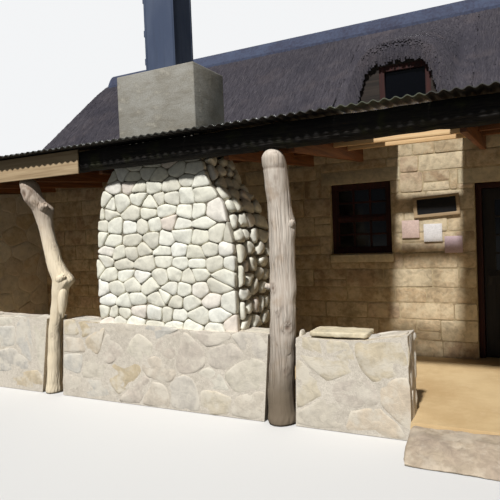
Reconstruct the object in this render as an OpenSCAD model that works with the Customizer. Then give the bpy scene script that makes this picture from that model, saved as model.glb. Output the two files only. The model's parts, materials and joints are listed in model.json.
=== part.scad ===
// Thatched stone cottage with a lean-to verandah, a fireplace chimney and log posts.
// Millimetres. X runs along the front, Y from the front to the back, Z up from the
// lowest ground. The origin is the centre of the house's footprint.

/* [House] */
// Length of the house over its gable walls
house_len = 11800; // [11500:50:12100]
// Depth of the house over its front and back walls
house_depth = 4200; // [4100:50:4500]
// Thickness of the stone walls
wall_t = 400; // [360:10:440]
// Height of the floors over the lowest ground
floor_h = 140; // [120:5:160]
// Height of the front wall's head at its outer face
wall_head = 2440; // [2430:5:2460]
// Height of the loft floor's upper side
loft_h = 2330; // [2310:5:2350]

/* [Thatch] */
// Rise of the roof slope for each unit of depth
roof_rise = 0.87; // [0.84:0.01:0.9]
// Thickness of the thatch, measured upright
thatch_t = 360; // [340:10:400]
// Overhang of the thatch past each gable wall
verge_over = 150; // [140:10:250]
// Overhang of the thatch past the back wall
back_over = 350; // [250:10:450]
// Radius of the rolled edges of the thatch
edge_r = 120; // [60:10:130]
// Height of the ridge capping over the thatch
cap_h = 95; // [80:5:115]
// Half the width of the ridge capping
cap_half = 200; // [160:10:240]

/* [Eyebrow dormer] */
// Place of the eyebrow's centre along the front
brow_x = -130; // [-150:5:-100]
// Half the width of the eyebrow over the slope
brow_half = 650; // [630:5:680]
// Height of the eyebrow over the slope at its front
brow_h = 745; // [735:5:790]
// Setback of the eyebrow's front from the facade
brow_set = 200; // [190:5:215]
// Depth over which the eyebrow dies into the slope
brow_run = 1500; // [1400:20:1600]
// Width of the dormer window
dormer_w = 580; // [500:4:584]
// Height of the dormer window
dormer_h = 480; // [440:5:485]
// Place of the dormer window's centre along the front
dormer_x = -40; // [-60:5:-35]

/* [Windows and door] */
// Width of a window's opening in the stone
window_w = 705; // [650:5:760]
// Height of a window's opening in the stone
window_h = 814; // [760:2:830]
// Height of the window openings over the ground
window_z = 1296; // [1280:2:1310]
// Width of the frame members
frame_w = 60; // [50:2:70]
// Depth of the frames
frame_d = 90; // [80:5:100]
// Width of the doorway between its frame posts
door_w = 850; // [800:10:900]
// Height of the doorway over the floor
door_h = 1816; // [1780:2:1830]
// Place of the doorway's centre along the front
door_x = 1175; // [1150:5:1200]
// Thickness of the door leaf
leaf_t = 45; // [38:1:50]
// Gap round the door leaf
leaf_gap = 6; // [5:1:8]

/* [Verandah] */
// Depth of the verandah from the facade to the parapet's front
verandah_d = 2150; // [2140:10:2200]
// Height of the parapet
parapet_h = 780; // [740:10:820]
// Thickness of the parapet
parapet_t = 280; // [260:10:300]
// Height of the sheet roof's front edge
sheet_front_z = 2435; // [2430:1:2440]
// Slope of the sheet roof in degrees
sheet_slope = 3.8; // [3.6:0.1:4.0]
// Pitch of the corrugation
wave_pitch = 76.2; // [70:0.2:80]
// Half the height of the corrugation
wave_a = 9; // [8:0.5:10]
// Thickness of the sheets
sheet_t = 6; // [5:1:6]
// Radius of the log beam
beam_r = 105; // [100:1:106]
// Depth of the rafters
rafter_h = 165; // [140:5:170]
// Depth of the purlins
purlin_h = 68; // [50:2:70]

/* [Chimney] */
// Place of the chimney's centre along the front
chimney_x = -1829; // [-1835:1:-1820]
// Width of the fireplace breast at its foot
breast_w = 1512; // [1480:4:1530]
// Depth of the fireplace breast at its foot
breast_d = 800; // [760:10:840]
// Height of the stone chimney box's top
stack_top = 3100; // [3000:10:3200]
// Width of the stone chimney box
stack_w = 860; // [840:10:880]
// Depth of the stone chimney box
stack_d = 530; // [510:5:540]
// Height of the steel flue's top
flue_top = 4850; // [4400:10:5200]
// Width of the steel flue
flue_w = 324; // [310:2:330]
// Depth of the steel flue
flue_d = 300; // [290:2:310]

/* [Hidden] */
hx = house_len/2;
hy = house_depth/2;
front_y = -hy - verandah_d;                 // the parapet's front face
slope_top0 = wall_head + 1 + thatch_t + roof_rise*hy;
brow_y = -hy + brow_set;
thatch_end = hx + verge_over;
roof_edge_y = front_y - 250;
sheet_rise = tan(sheet_slope);
sheet_low = wave_a + sheet_t/2;             // from the sheets' middle to their lowest line
beam_y = front_y - 62;
chimney_y = front_y + 50;                   // the breast's front face
gate = [370, 2030];
corner_gap = 272;                           // room for a post at each end of the parapet
corner_x = hx - 136;
door_head = floor_h + door_h;
frame_set = 50;                             // setback of the frames from the wall's face
door_set = 80;
lintel_h = 150;
sill_h = 100;
front_windows_x = [-3900, -537, 2887];
back_windows_x = [-3700, 0, 3700];
flue_hole = [240, 220];
flue_x = chimney_x + 36;
flue_y = chimney_y + 220;
firebox = [760, 660, 670];
rafters_x = [-hx + 125, -5350, -4400, -3450, -2500, -1100, -500, 790, 1560, 2400, 3300, 4250, 5200,
    hx - 125];
purlins_y = [500, 1310, 1780];
clear_x = [-75, 595];
brow_edge = brow_half*1.25;                 // where the thatch around the eyebrow begins
vault_top = 3530;                           // the hollow's ceiling behind the lip
vault_half = 520;
brow_steps = [0, 0.154, 0.292, 0.415, 0.523, 0.615, 0.692, 0.754, 0.8, 0.849, 0.898, 0.942, 0.978, 1,
    1.046, 1.123, 1.25]*brow_half;
brow_cols = concat([for (i = [16 : -1 : 1]) -brow_steps[i]], brow_steps);

// ---- shared shapes

module box(low, high) {
    translate(low)
        cube(high - low);
}

// A side profile, drawn as [y, z] points, run from one x to another
module run_x(x0, x1) {
    translate([x0, 0, 0])
        rotate([90, 0, 90])
            linear_extrude(x1 - x0)
                children();
}

// A front profile, drawn as [x, z] points, run from one y to another
module run_y(y0, y1) {
    translate([0, y1, 0])
        rotate([90, 0, 0])
            linear_extrude(y1 - y0)
                children();
}

// Heights of the thatch
function slope_top(y) = slope_top0 - roof_rise*abs(y);
function slope_under(y) = slope_top(y) - thatch_t;
function rolled(d, r) = d >= r ? 0 : r - sqrt(r*r - (r - d)*(r - d));
function bell(t) = max(
    t < 1 ? 1 - pow(t, 3.5) : 0,
    t < 1.2 ? 0.12*pow(min(1, 4 - t/0.3), 2) : 0);
function brow(x, y) = brow_h*bell(abs(x - brow_x)/brow_half)*max(0, 1 - (y - brow_y)/brow_run);
function arch(t, foot, crown, power) = t >= 1 ? 0 : foot + (crown - foot)*(1 - pow(t, power));
function vault(x) = arch(abs(x - brow_x)/vault_half, slope_under(brow_y), vault_top, 9);
function lip(x) = arch(abs(x - brow_x)/(vault_half - 50), slope_under(brow_y), vault_top - 60, 6.4);
function hollow(x, y) = y < brow_y + 1 ? lip(x) : vault(x);
function drawn_in(y) = abs(y) >= 420 ? 0 : 150*pow(1 - abs(y)/420, 2);
function edge_drop(x, y) = max(
    rolled(thatch_end - abs(x), edge_r),
    y > 0 ? rolled(hy + back_over - y, edge_r) : rolled(y + hy, edge_r/2));

// Thatch over a grid of xs and ys, with the eyebrow raised out of it where asked
module thatch(xs, ys, eyebrow = false) {
    nx = len(xs);
    ny = len(ys);
    n = nx*ny;
    function place(x, y) = abs(x) < thatch_end - edge_r - 1 ? x : x - sign(x)*drawn_in(y);
    top = [for (y = ys, x = xs)
        [place(x, y), y, slope_top(y) + (eyebrow ? brow(x, y) : 0) - edge_drop(x, y)]];
    under = [for (y = ys, x = xs)
        [place(x, y), y, eyebrow ? max(slope_under(y), hollow(x, y)) : slope_under(y)]];
    function at(i, j) = j*nx + i;
    upper_faces = [for (j = [0 : ny - 2], i = [0 : nx - 2]) each [
        [at(i, j), at(i, j + 1), at(i + 1, j + 1)],
        [at(i, j), at(i + 1, j + 1), at(i + 1, j)]]];
    lower_faces = [for (f = upper_faces) [f[2] + n, f[1] + n, f[0] + n]];
    front_back = [for (i = [0 : nx - 2]) each [
        [at(i, 0), at(i + 1, 0), at(i + 1, 0) + n, at(i, 0) + n],
        [at(i + 1, ny - 1), at(i, ny - 1), at(i, ny - 1) + n, at(i + 1, ny - 1) + n]]];
    ends = [for (j = [0 : ny - 2]) each [
        [at(0, j + 1), at(0, j), at(0, j) + n, at(0, j + 1) + n],
        [at(nx - 1, j), at(nx - 1, j + 1), at(nx - 1, j + 1) + n, at(nx - 1, j) + n]]];
    polyhedron(concat(top, under), concat(upper_faces, lower_faces, front_back, ends));
}

verge_steps = [for (a = [0 : 22.5 : 90]) thatch_end - edge_r*(1 - cos(a))];
inner_steps = [for (i = [4 : -1 : 0]) verge_steps[i]];
ridge_steps = [-420, -280, -140, 0];
eave_steps = [for (a = [0 : 30 : 90]) -hy + edge_r/2*(1 - cos(a))];

// Heights of the sheet roof's middle plane
function sheet_z(y) = sheet_front_z + sheet_rise*(y - roof_edge_y);

// Corrugated sheets between two x places, from one y to another
module sheets(x0, x1, y0 = roof_edge_y, y1 = -hy - 3) {
    n = ceil((x1 - x0)/(wave_pitch/6));
    xs = [for (i = [0 : n]) x0 + i*(x1 - x0)/n];
    function wave(x) = wave_a*sin(360*x/wave_pitch);
    translate([0, y0, sheet_z(y0)])
        rotate([sheet_slope, 0, 0])
            run_y(0, (y1 - y0)/cos(sheet_slope))
                polygon(concat(
                    [for (x = xs) [x, wave(x) + sheet_t/2]],
                    [for (i = [n : -1 : 0]) [xs[i], wave(xs[i]) - sheet_t/2]]));
}

// A timber under the sheets: its side profile follows the roof's slope
module sloped(y0, y1, upper, depth) {
    polygon([
        [y0, sheet_z(y0) - upper - depth], [y1, sheet_z(y1) - upper - depth],
        [y1, sheet_z(y1) - upper], [y0, sheet_z(y0) - upper]]);
}

// ---- floors

module house_floor() color("burlywood") {
    linear_extrude(floor_h)
        union() {
            square([house_len - 2*wall_t, house_depth - 2*wall_t], center = true);
            translate([door_x - door_w/2 - frame_w, -hy])
                square([door_w + 2*frame_w, wall_t + 1]);
        }
}

module verandah_floor() color("peru") {
    back = front_y + parapet_t;
    linear_extrude(floor_h)
        difference() {
            union() {
                translate([-hx + parapet_t, back])
                    square([house_len - 2*parapet_t, -hy - back]);
                translate([gate[0], front_y])
                    square([gate[1] - gate[0], parapet_t + 1]);
            }
            translate([chimney_x - breast_w/2, back - 1])
                square([breast_w, breast_d + chimney_y - back + 1]);
        }
}

module entrance_step() color("rosybrown") {
    run_x(gate[0] + 12, gate[1] - 28)
        polygon([[front_y, 0], [front_y, floor_h - 8], [front_y - 195, floor_h - 14],
            [front_y - 330, floor_h - 62], [front_y - 420, 40], [front_y - 450, 0]]);
}

// ---- walls

module window_cut(x) {
    box([x - window_w/2, -1, window_z], [x + window_w/2, wall_t + 1, window_z + window_h]);
    box([x - window_w/2 - 110, -1, window_z + window_h],
        [x + window_w/2 + 110, wall_t + 1, window_z + window_h + lintel_h]);
    box([x - window_w/2 - 15, -1, window_z - sill_h],
        [x + window_w/2 + 15, 180, window_z]);
}

module long_wall(x0, x1) {
    run_x(x0, x1)
        polygon([[0, 0], [wall_t, 0], [wall_t, wall_head + roof_rise*wall_t], [0, wall_head]]);
}

door_cut_x = [door_x - door_w/2 - frame_w, door_x + door_w/2 + frame_w];

module door_lintel_cut() {
    box([door_cut_x[0] - 160, -1, door_head + frame_w],
        [door_cut_x[1] + 160, wall_t + 1, door_head + frame_w + lintel_h]);
}

module front_wall_left() color("tan") {
    translate([0, -hy, 0])
        difference() {
            long_wall(-hx + wall_t, door_cut_x[0]);
            window_cut(front_windows_x[0]);
            window_cut(front_windows_x[1]);
            door_lintel_cut();
        }
}

module front_wall_right() color("tan") {
    translate([0, -hy, 0])
        difference() {
            long_wall(door_cut_x[1], hx - wall_t);
            window_cut(front_windows_x[2]);
            door_lintel_cut();
        }
}

module front_wall_over_door() color("tan") {
    z0 = door_head + frame_w + lintel_h;
    translate([0, -hy, 0])
        run_x(door_cut_x[0], door_cut_x[1])
            polygon([[0, z0], [wall_t, z0], [wall_t, wall_head + roof_rise*wall_t], [0, wall_head]]);
}

module back_wall() color("tan") {
    mirror([0, 1, 0])
        translate([0, -hy, 0])
            difference() {
                long_wall(-hx + wall_t, hx - wall_t);
                for (x = back_windows_x)
                    window_cut(x);
            }
}

module gable_wall() {
    difference() {
        run_x(-hx, -hx + wall_t)
            polygon([[-hy, 0], [hy, 0], [hy, wall_head], [0, slope_under(0) - 1], [-hy, wall_head]]);
        translate([-hx, 0, 0])
            rotate([0, 0, -90])
                window_cut(0);
    }
}

module gable_wall_left() color("tan") gable_wall();

module gable_wall_right() color("tan") mirror([1, 0, 0]) gable_wall();

// Runs its children at each window, drawn as for a window whose wall faces -Y at y = 0
module at_windows() {
    for (x = front_windows_x)
        translate([x, -hy, 0])
            children();
    for (x = back_windows_x)
        translate([x, hy, 0])
            rotate([0, 0, 180])
                children();
    for (side = [-1, 1])
        translate([side*hx, 0, 0])
            rotate([0, 0, side*90])
                children();
}

module stone_lintels() color("wheat") {
    at_windows()
        box([-window_w/2 - 110, 0, window_z + window_h],
            [window_w/2 + 110, wall_t, window_z + window_h + lintel_h]);
    translate([0, -hy, 0])
        box([door_cut_x[0] - 160, 0, door_head + frame_w],
            [door_cut_x[1] + 160, wall_t, door_head + frame_w + lintel_h]);
}

module stone_sills() color("cornsilk") {
    at_windows()
        run_x(-window_w/2 - 15, window_w/2 + 15)
            polygon([[-35, window_z - sill_h], [180, window_z - sill_h],
                [180, window_z], [frame_set, window_z], [-35, window_z - 14]]);
}

module dormer_wall() color("saddlebrown") {
    y0 = brow_y + 70;
    y1 = y0 + 100;
    difference() {
        intersection() {
            run_y(y0, y1)
                polygon(concat(
                    [[brow_x + vault_half, wall_head], [brow_x - vault_half, wall_head]],
                    [for (c = brow_cols) if (abs(c) < vault_half) [brow_x + c, vault(brow_x + c) - 1]]));
            run_x(brow_x - vault_half, brow_x + vault_half)
                polygon([[y0, slope_under(y0)], [y1, slope_under(y1)],
                    [y1, slope_top0], [y0, slope_top0]]);
        }
        box([dormer_x - dormer_w/2, y0 - 1, dormer_z],
            [dormer_x + dormer_w/2, y1 + 1, dormer_z + dormer_h]);
    }
}

dormer_z = slope_top(brow_y) + 8;

// ---- loft

module loft_floor() color("sienna") {
    box([-hx + wall_t, -hy + wall_t, loft_h - 30], [hx - wall_t, hy - wall_t, loft_h]);
}

module ceiling_beams() color("saddlebrown") {
    for (i = [-6 : 6]) let (x = i*(hx - wall_t - 60)/6)
        box([x - 50, -hy + wall_t, loft_h - 180], [x + 50, hy - wall_t, loft_h - 30]);
}

// ---- thatched roof

module thatch_front_left() color("dimgray")
    thatch(concat(-verge_steps, [brow_x - brow_edge]), concat(eave_steps, ridge_steps));

module thatch_front_right() color("dimgray")
    thatch(concat([brow_x + brow_edge], inner_steps), concat(eave_steps, ridge_steps));

module thatch_apron() color("dimgray")
    thatch([brow_x - brow_edge, brow_x + brow_edge], concat(eave_steps, [brow_y]));

module thatch_eyebrow() color("dimgray")
    thatch(
        [for (c = brow_cols) brow_x + c],
        concat([brow_y, brow_y + 60], [for (i = [1 : 12]) brow_y + 60 + i*(-brow_y - 60)/12]),
        eyebrow = true);

module thatch_back() color("dimgray")
    thatch(
        concat(-verge_steps, inner_steps),
        concat(
            [for (i = [3 : -1 : 0]) -ridge_steps[i]],
            [for (a = [90 : -22.5 : 0]) hy + back_over - edge_r*(1 - cos(a))]));

module ridge_cap() color("lightslategray") {
    foot = slope_top(cap_half) + 45;
    run_x(-thatch_end + 215, thatch_end - 215)
        polygon(concat(
            [[cap_half, slope_top(cap_half) + 1], [0, slope_top0 + 1], [-cap_half, slope_top(cap_half) + 1]],
            [for (i = [-8 : 8]) let (a = i/8)
                [cap_half*a, foot + (slope_top0 + cap_h - foot)*(1 - a*a)]]));
}

// ---- windows and door

module sash(w, h, z, member, rail = true) {
    difference() {
        box([-w/2, 0, z], [w/2, frame_d, z + h]);
        box([-w/2 + member, -1, z + member], [w/2 - member, frame_d + 1, z + h - member]);
    }
    if (rail)
        box([-w/2 + member, 20, z + h/2 - 25], [w/2 - member, frame_d - 20, z + h/2 + 25]);
}

module window_frames() color("maroon") {
    at_windows()
        translate([0, frame_set, 0])
            sash(window_w, window_h, window_z, frame_w);
    translate([dormer_x, brow_y + 75, 0])
        sash(dormer_w, dormer_h, dormer_z, 60, rail = false);
}

module pane(w, z0, z1) {
    box([-w/2, frame_d/2 - 3, z0], [w/2, frame_d/2 + 3, z1]);
}

module window_panes() color("lightblue", 0.4) {
    clear_w = window_w - 2*frame_w;
    at_windows()
        translate([0, frame_set, 0]) {
            pane(clear_w, window_z + frame_w, window_z + window_h/2 - 25);
            pane(clear_w, window_z + window_h/2 + 25, window_z + window_h - frame_w);
        }
    translate([dormer_x, brow_y + 75, 0])
        pane(dormer_w - 120, dormer_z + 60, dormer_z + dormer_h - 60);
}

module door_frame() color("saddlebrown") {
    y0 = -hy + door_set;
    run_y(y0, y0 + frame_d)
        difference() {
            translate([door_cut_x[0], floor_h])
                square([door_w + 2*frame_w, door_h + frame_w]);
            translate([door_x - door_w/2, floor_h - 1])
                square([door_w, door_h + 1]);
        }
}

leaf_x = [door_x - door_w/2 + leaf_gap, door_x + door_w/2 - leaf_gap];
leaf_z = [floor_h + 8, door_head - leaf_gap];
leaf_y = -hy + door_set + frame_d - leaf_t;
stile = 105;
glass_z = [leaf_z[0] + 920, leaf_z[1] - stile];

module door_leaf() color("darkslategray") {
    difference() {
        box([leaf_x[0], leaf_y, leaf_z[0]], [leaf_x[1], leaf_y + leaf_t, leaf_z[1]]);
        box([leaf_x[0] + stile, leaf_y - 1, glass_z[0]],
            [leaf_x[1] - stile, leaf_y + leaf_t + 1, glass_z[1]]);
        for (face = [leaf_y - 1, leaf_y + leaf_t - 12])
            box([leaf_x[0] + stile, face, leaf_z[0] + 180],
                [leaf_x[1] - stile, face + 13, glass_z[0] - 130]);
    }
}

module door_glass() color("lightblue", 0.4) {
    box([leaf_x[0] + stile, leaf_y + leaf_t/2 - 3, glass_z[0]],
        [leaf_x[1] - stile, leaf_y + leaf_t/2 + 3, glass_z[1]]);
}

// ---- parapet

// The parapet's uneven top, never over its full height
function coping(x) = parapet_h - 9 + 6*sin(x*0.31) + 3*sin(x*0.83)
    - lookup(x, [[-3045, 0], [-1800, 28], [-600, 50], [90, 50], [340, 2]]);

// One stretch of parapet; its foot may stop short of its top at either end
module parapet(x0, x1, foot0 = 0, foot1 = 0) {
    n = ceil((x1 - x0)/150);
    run_y(front_y, front_y + parapet_t)
        polygon(concat([[x1 + foot1, 0], [x0 + foot0, 0]],
            [for (i = [0 : n]) let (x = x0 + i*(x1 - x0)/n) [x, coping(x)]]));
}

// The lower side of the rafters
function rafter_z(y) = sheet_z(y) - sheet_low - purlin_h - 1 - rafter_h;

// A full-height wall that closes the verandah's end
module end_return(x0) {
    y0 = front_y + parapet_t;
    run_x(x0, x0 + parapet_t)
        polygon([[y0, 0], [-hy, 0], [-hy, rafter_z(-hy) - 2], [y0, rafter_z(y0) - 2]]);
}

module parapet_far_left() color("antiquewhite") {
    parapet(-hx + corner_gap, -3280, foot1 = -115);
    end_return(-hx);
}

module parapet_left() color("antiquewhite") parapet(-3045, -752, foot0 = -55, foot1 = -66);

module parapet_middle() color("antiquewhite") parapet(-508, gate[0], foot0 = -27);

module parapet_right() color("antiquewhite") parapet(gate[1], 2920);

module parapet_far_right() color("antiquewhite") {
    parapet(3200, hx - corner_gap);
    end_return(hx - parapet_t);
}

module coping_slab() color("cornsilk")
    translate([0, front_y + 8, parapet_h - 50])
        linear_extrude(45)
            polygon([[-405, 20], [-370, 0], [52, 6], [70, 34], [62, 262], [-380, 268], [-405, 240]]);

// ---- logs

// An upright log: the keys give [z, x, y, r], and each knot [z, direction, size]
module upright_log(keys, knots, steps = 26, sides = 14) {
    top_z = keys[len(keys) - 1][0];
    zs = concat([for (i = [0 : steps - 2]) i*(top_z - 60)/(steps - 2)], [top_z - 25, top_z]);
    centre_x = [for (k = keys) [k[0], k[1]]];
    centre_y = [for (k = keys) [k[0], k[2]]];
    radius = [for (k = keys) [k[0], k[3]]];
    function swell(z, a) = [for (k = knots)
        k[2]*exp(-pow((z - k[0])/65, 2))*pow(max(0, cos(a - k[1])), 3)] * [for (k = knots) 1];
    function round_end(z) = z > top_z - 70 ? sqrt(max(0.2, 1 - pow((z - top_z + 70)/75, 2))) : 1;
    rings = [for (z = zs) [for (i = [0 : sides - 1])
        let (a = i*360/sides,
             r = (lookup(z, radius)*(1 + 0.05*sin(2*a + z/9) + 0.03*sin(3*a - z/5))
                 + swell(z, a))*round_end(z))
        [lookup(z, centre_x) + r*cos(a), lookup(z, centre_y) + r*sin(a), z]]];
    n = len(zs);
    polyhedron(
        [for (ring = rings) each ring],
        concat(
            [[for (i = [0 : sides - 1]) i]],
            [[for (i = [sides - 1 : -1 : 0]) (n - 1)*sides + i]],
            [for (j = [0 : n - 2], i = [0 : sides - 1]) let (k = (i + 1) % sides) each [
                [j*sides + i, (j + 1)*sides + i, (j + 1)*sides + k],
                [j*sides + i, (j + 1)*sides + k, j*sides + k]]]));
}

post_top = sheet_front_z - 203;
post_y = front_y + 55;

module log_post_left() color("silver")
    upright_log(
        [[0, -3288, post_y, 77], [430, -3247, post_y, 71], [640, -3217, post_y - 10, 68],
         [860, -3150, post_y - 20, 74], [1060, -3094, post_y - 30, 84],
         [1190, -3062, post_y - 30, 96], [1370, -3140, post_y - 40, 86],
         [1680, -3222, post_y - 50, 80], [1880, -3262, post_y - 60, 92],
         [2060, -3345, beam_y + 8, 100], [post_top, -3400, beam_y + 2, 92]],
        [[1180, 10, 50], [1890, 20, 48], [2000, -70, 22], [1270, 200, 18]]);

module log_post_middle() color("silver")
    upright_log(
        [[0, -672, post_y, 118], [255, -682, post_y, 106], [520, -655, post_y, 100],
         [790, -626, post_y - 15, 100], [1050, -620, post_y - 25, 104],
         [1430, -607, post_y - 35, 108], [1780, -609, post_y - 45, 104],
         [2070, -613, beam_y + 20, 102], [post_top, -622, beam_y + 4, 96]],
        [[1130, 0, 16], [1640, 5, 20], [1540, -20, 14], [760, -150, 14]]);

module outer_posts() color("silver")
    for (p = [[3060, 3], [-corner_x, 11], [corner_x, 19]])
        translate([p[0], 0, 0])
            upright_log(
                [for (z = [0 : post_top/6 : post_top + 1]) let (s = p[1])
                    [z, 12*sin(z/7 + 40*s), post_y + (beam_y - post_y)*z/post_top,
                     104 - 10*z/post_top + 3*sin(z/3 + 90*s)]],
                [[900, 30*p[1], 16], [1600, 70*p[1], 14]], steps = 20, sides = 14);

module log_beam() color("darkolivegreen") {
    n = 26;
    z = sheet_front_z - 110;
    seats_x = [-3400, -622, 3060, -corner_x, corner_x];
    difference() {
        translate([-hx, beam_y, z])
            rotate([90, 0, 90])
                rotate_extrude($fn = 48)
                    polygon(concat([[0, house_len], [0, 0]],
                        [for (i = [0 : n]) [beam_r - 3 + 2.5*sin(i*97) + 1.5*sin(i*41 + 20),
                            i*house_len/n]]));
        for (x = seats_x)
            box([x - 130, beam_y - beam_r, z - beam_r - 10], [x + 130, beam_y + beam_r, post_top]);
    }
}

module fascia_board() color("tan")
    box([-hx, beam_y - beam_r - 31, sheet_front_z - 235],
        [-2570, beam_y - beam_r - 1, sheet_front_z - 12]);

// ---- verandah roof

module verandah_rafters() color("sandybrown")
    for (x = rafters_x)
        run_x(x - 25, x + 25)
            sloped(beam_y + beam_r + 2, -hy, sheet_low + purlin_h + 1, rafter_h);

module verandah_purlins() color("sandybrown") {
    back_side = chimney_y + stack_d;
    for (y = purlins_y) let (at_y = roof_edge_y + y) {
        if (at_y < back_side + 60) {
            run_x(-hx + 30, chimney_x - breast_w/2 + 110)
                sloped(at_y - 25, at_y + 25, sheet_low, purlin_h);
            run_x(chimney_x + breast_w/2 - 120, hx - 30)
                sloped(at_y - 25, at_y + 25, sheet_low, purlin_h);
        }
        else
            run_x(-hx + 30, hx - 30)
                sloped(at_y - 25, at_y + 25, sheet_low, purlin_h);
    }
}

stack_x = [chimney_x - stack_w/2, chimney_x + stack_w/2];

module roof_sheets_left() color("lightgray") sheets(-hx, stack_x[0] - 8);

module roof_sheets_middle() color("lightgray") {
    sheets(stack_x[0] - 7, stack_x[1] + 7, y1 = chimney_y - 8);
    sheets(stack_x[0] - 7, stack_x[1] + 7, y0 = chimney_y + stack_d + 8);
    sheets(stack_x[1] + 8, clear_x[0]);
}

module clear_sheet() color("honeydew", 0.6) sheets(clear_x[0] + 1, clear_x[1] - 1);

module roof_sheets_right() color("lightgray") sheets(clear_x[1], hx);

// ---- chimney

breast_top = sheet_front_z - 25;

module chimney_hollow() {
    box([chimney_x - firebox[0]/2, chimney_y + breast_d - firebox[1], parapet_h + 15],
        [chimney_x + firebox[0]/2, chimney_y + breast_d + 1, parapet_h + 15 + firebox[2]]);
    box([flue_x - flue_hole[0]/2, flue_y - flue_hole[1]/2, parapet_h + 200],
        [flue_x + flue_hole[0]/2, flue_y + flue_hole[1]/2, stack_top + 1]);
}

module chimney_breast() color("ivory") {
    w = breast_w/2;
    neck = stack_w/2;
    back = chimney_y + breast_d;
    difference() {
        intersection() {
            run_y(chimney_y, back)
                polygon([for (p = [[-w, 0], [w, 0], [w, 1400], [w - 16, 1520], [w - 90, 1830],
                        [w - 220, 2030], [neck + 40, 2220], [neck, breast_top], [-neck, breast_top],
                        [-neck - 60, 2240], [-w + 114, 2040], [-w + 44, 1730], [-w, 1330]])
                    [chimney_x + p[0], p[1]]]);
            run_x(chimney_x - w, chimney_x + w)
                polygon([[front_y + parapet_t, 0], [back, 0], [back, 1400],
                    [chimney_y + stack_d + 60, 2140], [chimney_y + stack_d, breast_top],
                    [chimney_y, breast_top], [chimney_y, parapet_h], [front_y + parapet_t, parapet_h]]);
        }
        chimney_hollow();
    }
}

module chimney_stack() color("darkkhaki")
    difference() {
        box([stack_x[0], chimney_y, breast_top], [stack_x[1], chimney_y + stack_d, stack_top]);
        chimney_hollow();
    }

module steel_flue() color("slategray")
    translate([flue_x, flue_y, stack_top])
        linear_extrude(flue_top - stack_top)
            difference() {
                square([flue_w, flue_d], center = true);
                square([flue_w - 16, flue_d - 16], center = true);
            }

// ---- the nodes

house_floor();
verandah_floor();
entrance_step();
front_wall_left();
front_wall_right();
front_wall_over_door();
back_wall();
gable_wall_left();
gable_wall_right();
stone_lintels();
stone_sills();
dormer_wall();
loft_floor();
ceiling_beams();
thatch_front_left();
thatch_front_right();
thatch_apron();
thatch_eyebrow();
thatch_back();
ridge_cap();
window_frames();
window_panes();
door_frame();
door_leaf();
door_glass();
parapet_far_left();
parapet_left();
parapet_middle();
parapet_right();
parapet_far_right();
coping_slab();
log_post_left();
log_post_middle();
outer_posts();
log_beam();
fascia_board();
verandah_rafters();
verandah_purlins();
roof_sheets_left();
roof_sheets_middle();
clear_sheet();
roof_sheets_right();
chimney_breast();
chimney_stack();
steel_flue();
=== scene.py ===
import json
import math
import random

import bmesh
import bpy
import numpy as np
from mathutils import Euler, Matrix, Vector, noise
from mathutils.bvhtree import BVHTree
from mathutils.kdtree import KDTree


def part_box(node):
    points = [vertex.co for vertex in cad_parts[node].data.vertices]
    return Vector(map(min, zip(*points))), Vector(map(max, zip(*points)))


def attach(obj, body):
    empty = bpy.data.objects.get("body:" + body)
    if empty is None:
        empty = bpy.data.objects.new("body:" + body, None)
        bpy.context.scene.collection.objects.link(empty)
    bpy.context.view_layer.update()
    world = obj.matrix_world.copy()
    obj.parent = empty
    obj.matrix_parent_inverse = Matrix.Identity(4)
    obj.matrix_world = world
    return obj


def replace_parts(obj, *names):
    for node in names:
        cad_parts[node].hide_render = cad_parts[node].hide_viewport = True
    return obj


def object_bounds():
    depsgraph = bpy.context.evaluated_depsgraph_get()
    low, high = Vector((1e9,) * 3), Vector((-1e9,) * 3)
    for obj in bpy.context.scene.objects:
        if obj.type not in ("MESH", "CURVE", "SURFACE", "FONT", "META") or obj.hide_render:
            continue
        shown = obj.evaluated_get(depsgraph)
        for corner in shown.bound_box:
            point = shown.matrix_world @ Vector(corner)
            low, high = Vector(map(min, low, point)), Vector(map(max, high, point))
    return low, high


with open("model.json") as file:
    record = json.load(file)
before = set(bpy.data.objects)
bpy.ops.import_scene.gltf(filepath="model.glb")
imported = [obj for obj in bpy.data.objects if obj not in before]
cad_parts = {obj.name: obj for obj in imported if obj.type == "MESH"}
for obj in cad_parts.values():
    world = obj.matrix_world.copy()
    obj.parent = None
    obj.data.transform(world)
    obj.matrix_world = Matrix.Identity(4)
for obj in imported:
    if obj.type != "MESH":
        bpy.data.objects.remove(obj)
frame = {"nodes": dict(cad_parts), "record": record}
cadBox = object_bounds()
nodes = frame["nodes"]
wallX, wallY = 5.90, 2.10           # the house walls' outer faces


studio = {
    "eye": (1.15, -8.25, 1.55),     # at standing height, in metres
    "turnLeft": 27.0,               # degrees left of straight on
    "tiltDown": 1.5,
    "lean": 2.3,
    "lens": 38.88, "film": 36.0,    # millimetres
    # degrees to the right of the front, degrees high, strength, softness
    "suns": ((3.0, 47.0, 4.6, 3.5), (-155.0, 24.0, 1.5, 25.0)),
    "sky": (0.84, 0.91, 1.0, 1.0), "skyStrength": 0.10,
    "backdrop": (0.90, 0.91, 0.92, 1.0),
    "floorSize": 240, "floorDrop": 0.004, "floorColour": (0.68, 0.67, 0.65, 1.0),
    "floorBounce": (0.075, 0.075, 0.07, 1.0),   # what it throws back under the roof, like short grass
}


def turned(degrees, axis):
    return Matrix.Rotation(math.radians(degrees), 4, axis)


def seenDirectly(tree):             # 1 for what the camera sees, through glass too
    path = tree.nodes.new("ShaderNodeLightPath")
    seen = tree.nodes.new("ShaderNodeMath")
    seen.operation = "MAXIMUM"
    tree.links.new(path.outputs["Is Camera Ray"], seen.inputs[0])
    tree.links.new(path.outputs["Is Transmission Ray"], seen.inputs[1])
    return seen.outputs[0]


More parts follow.
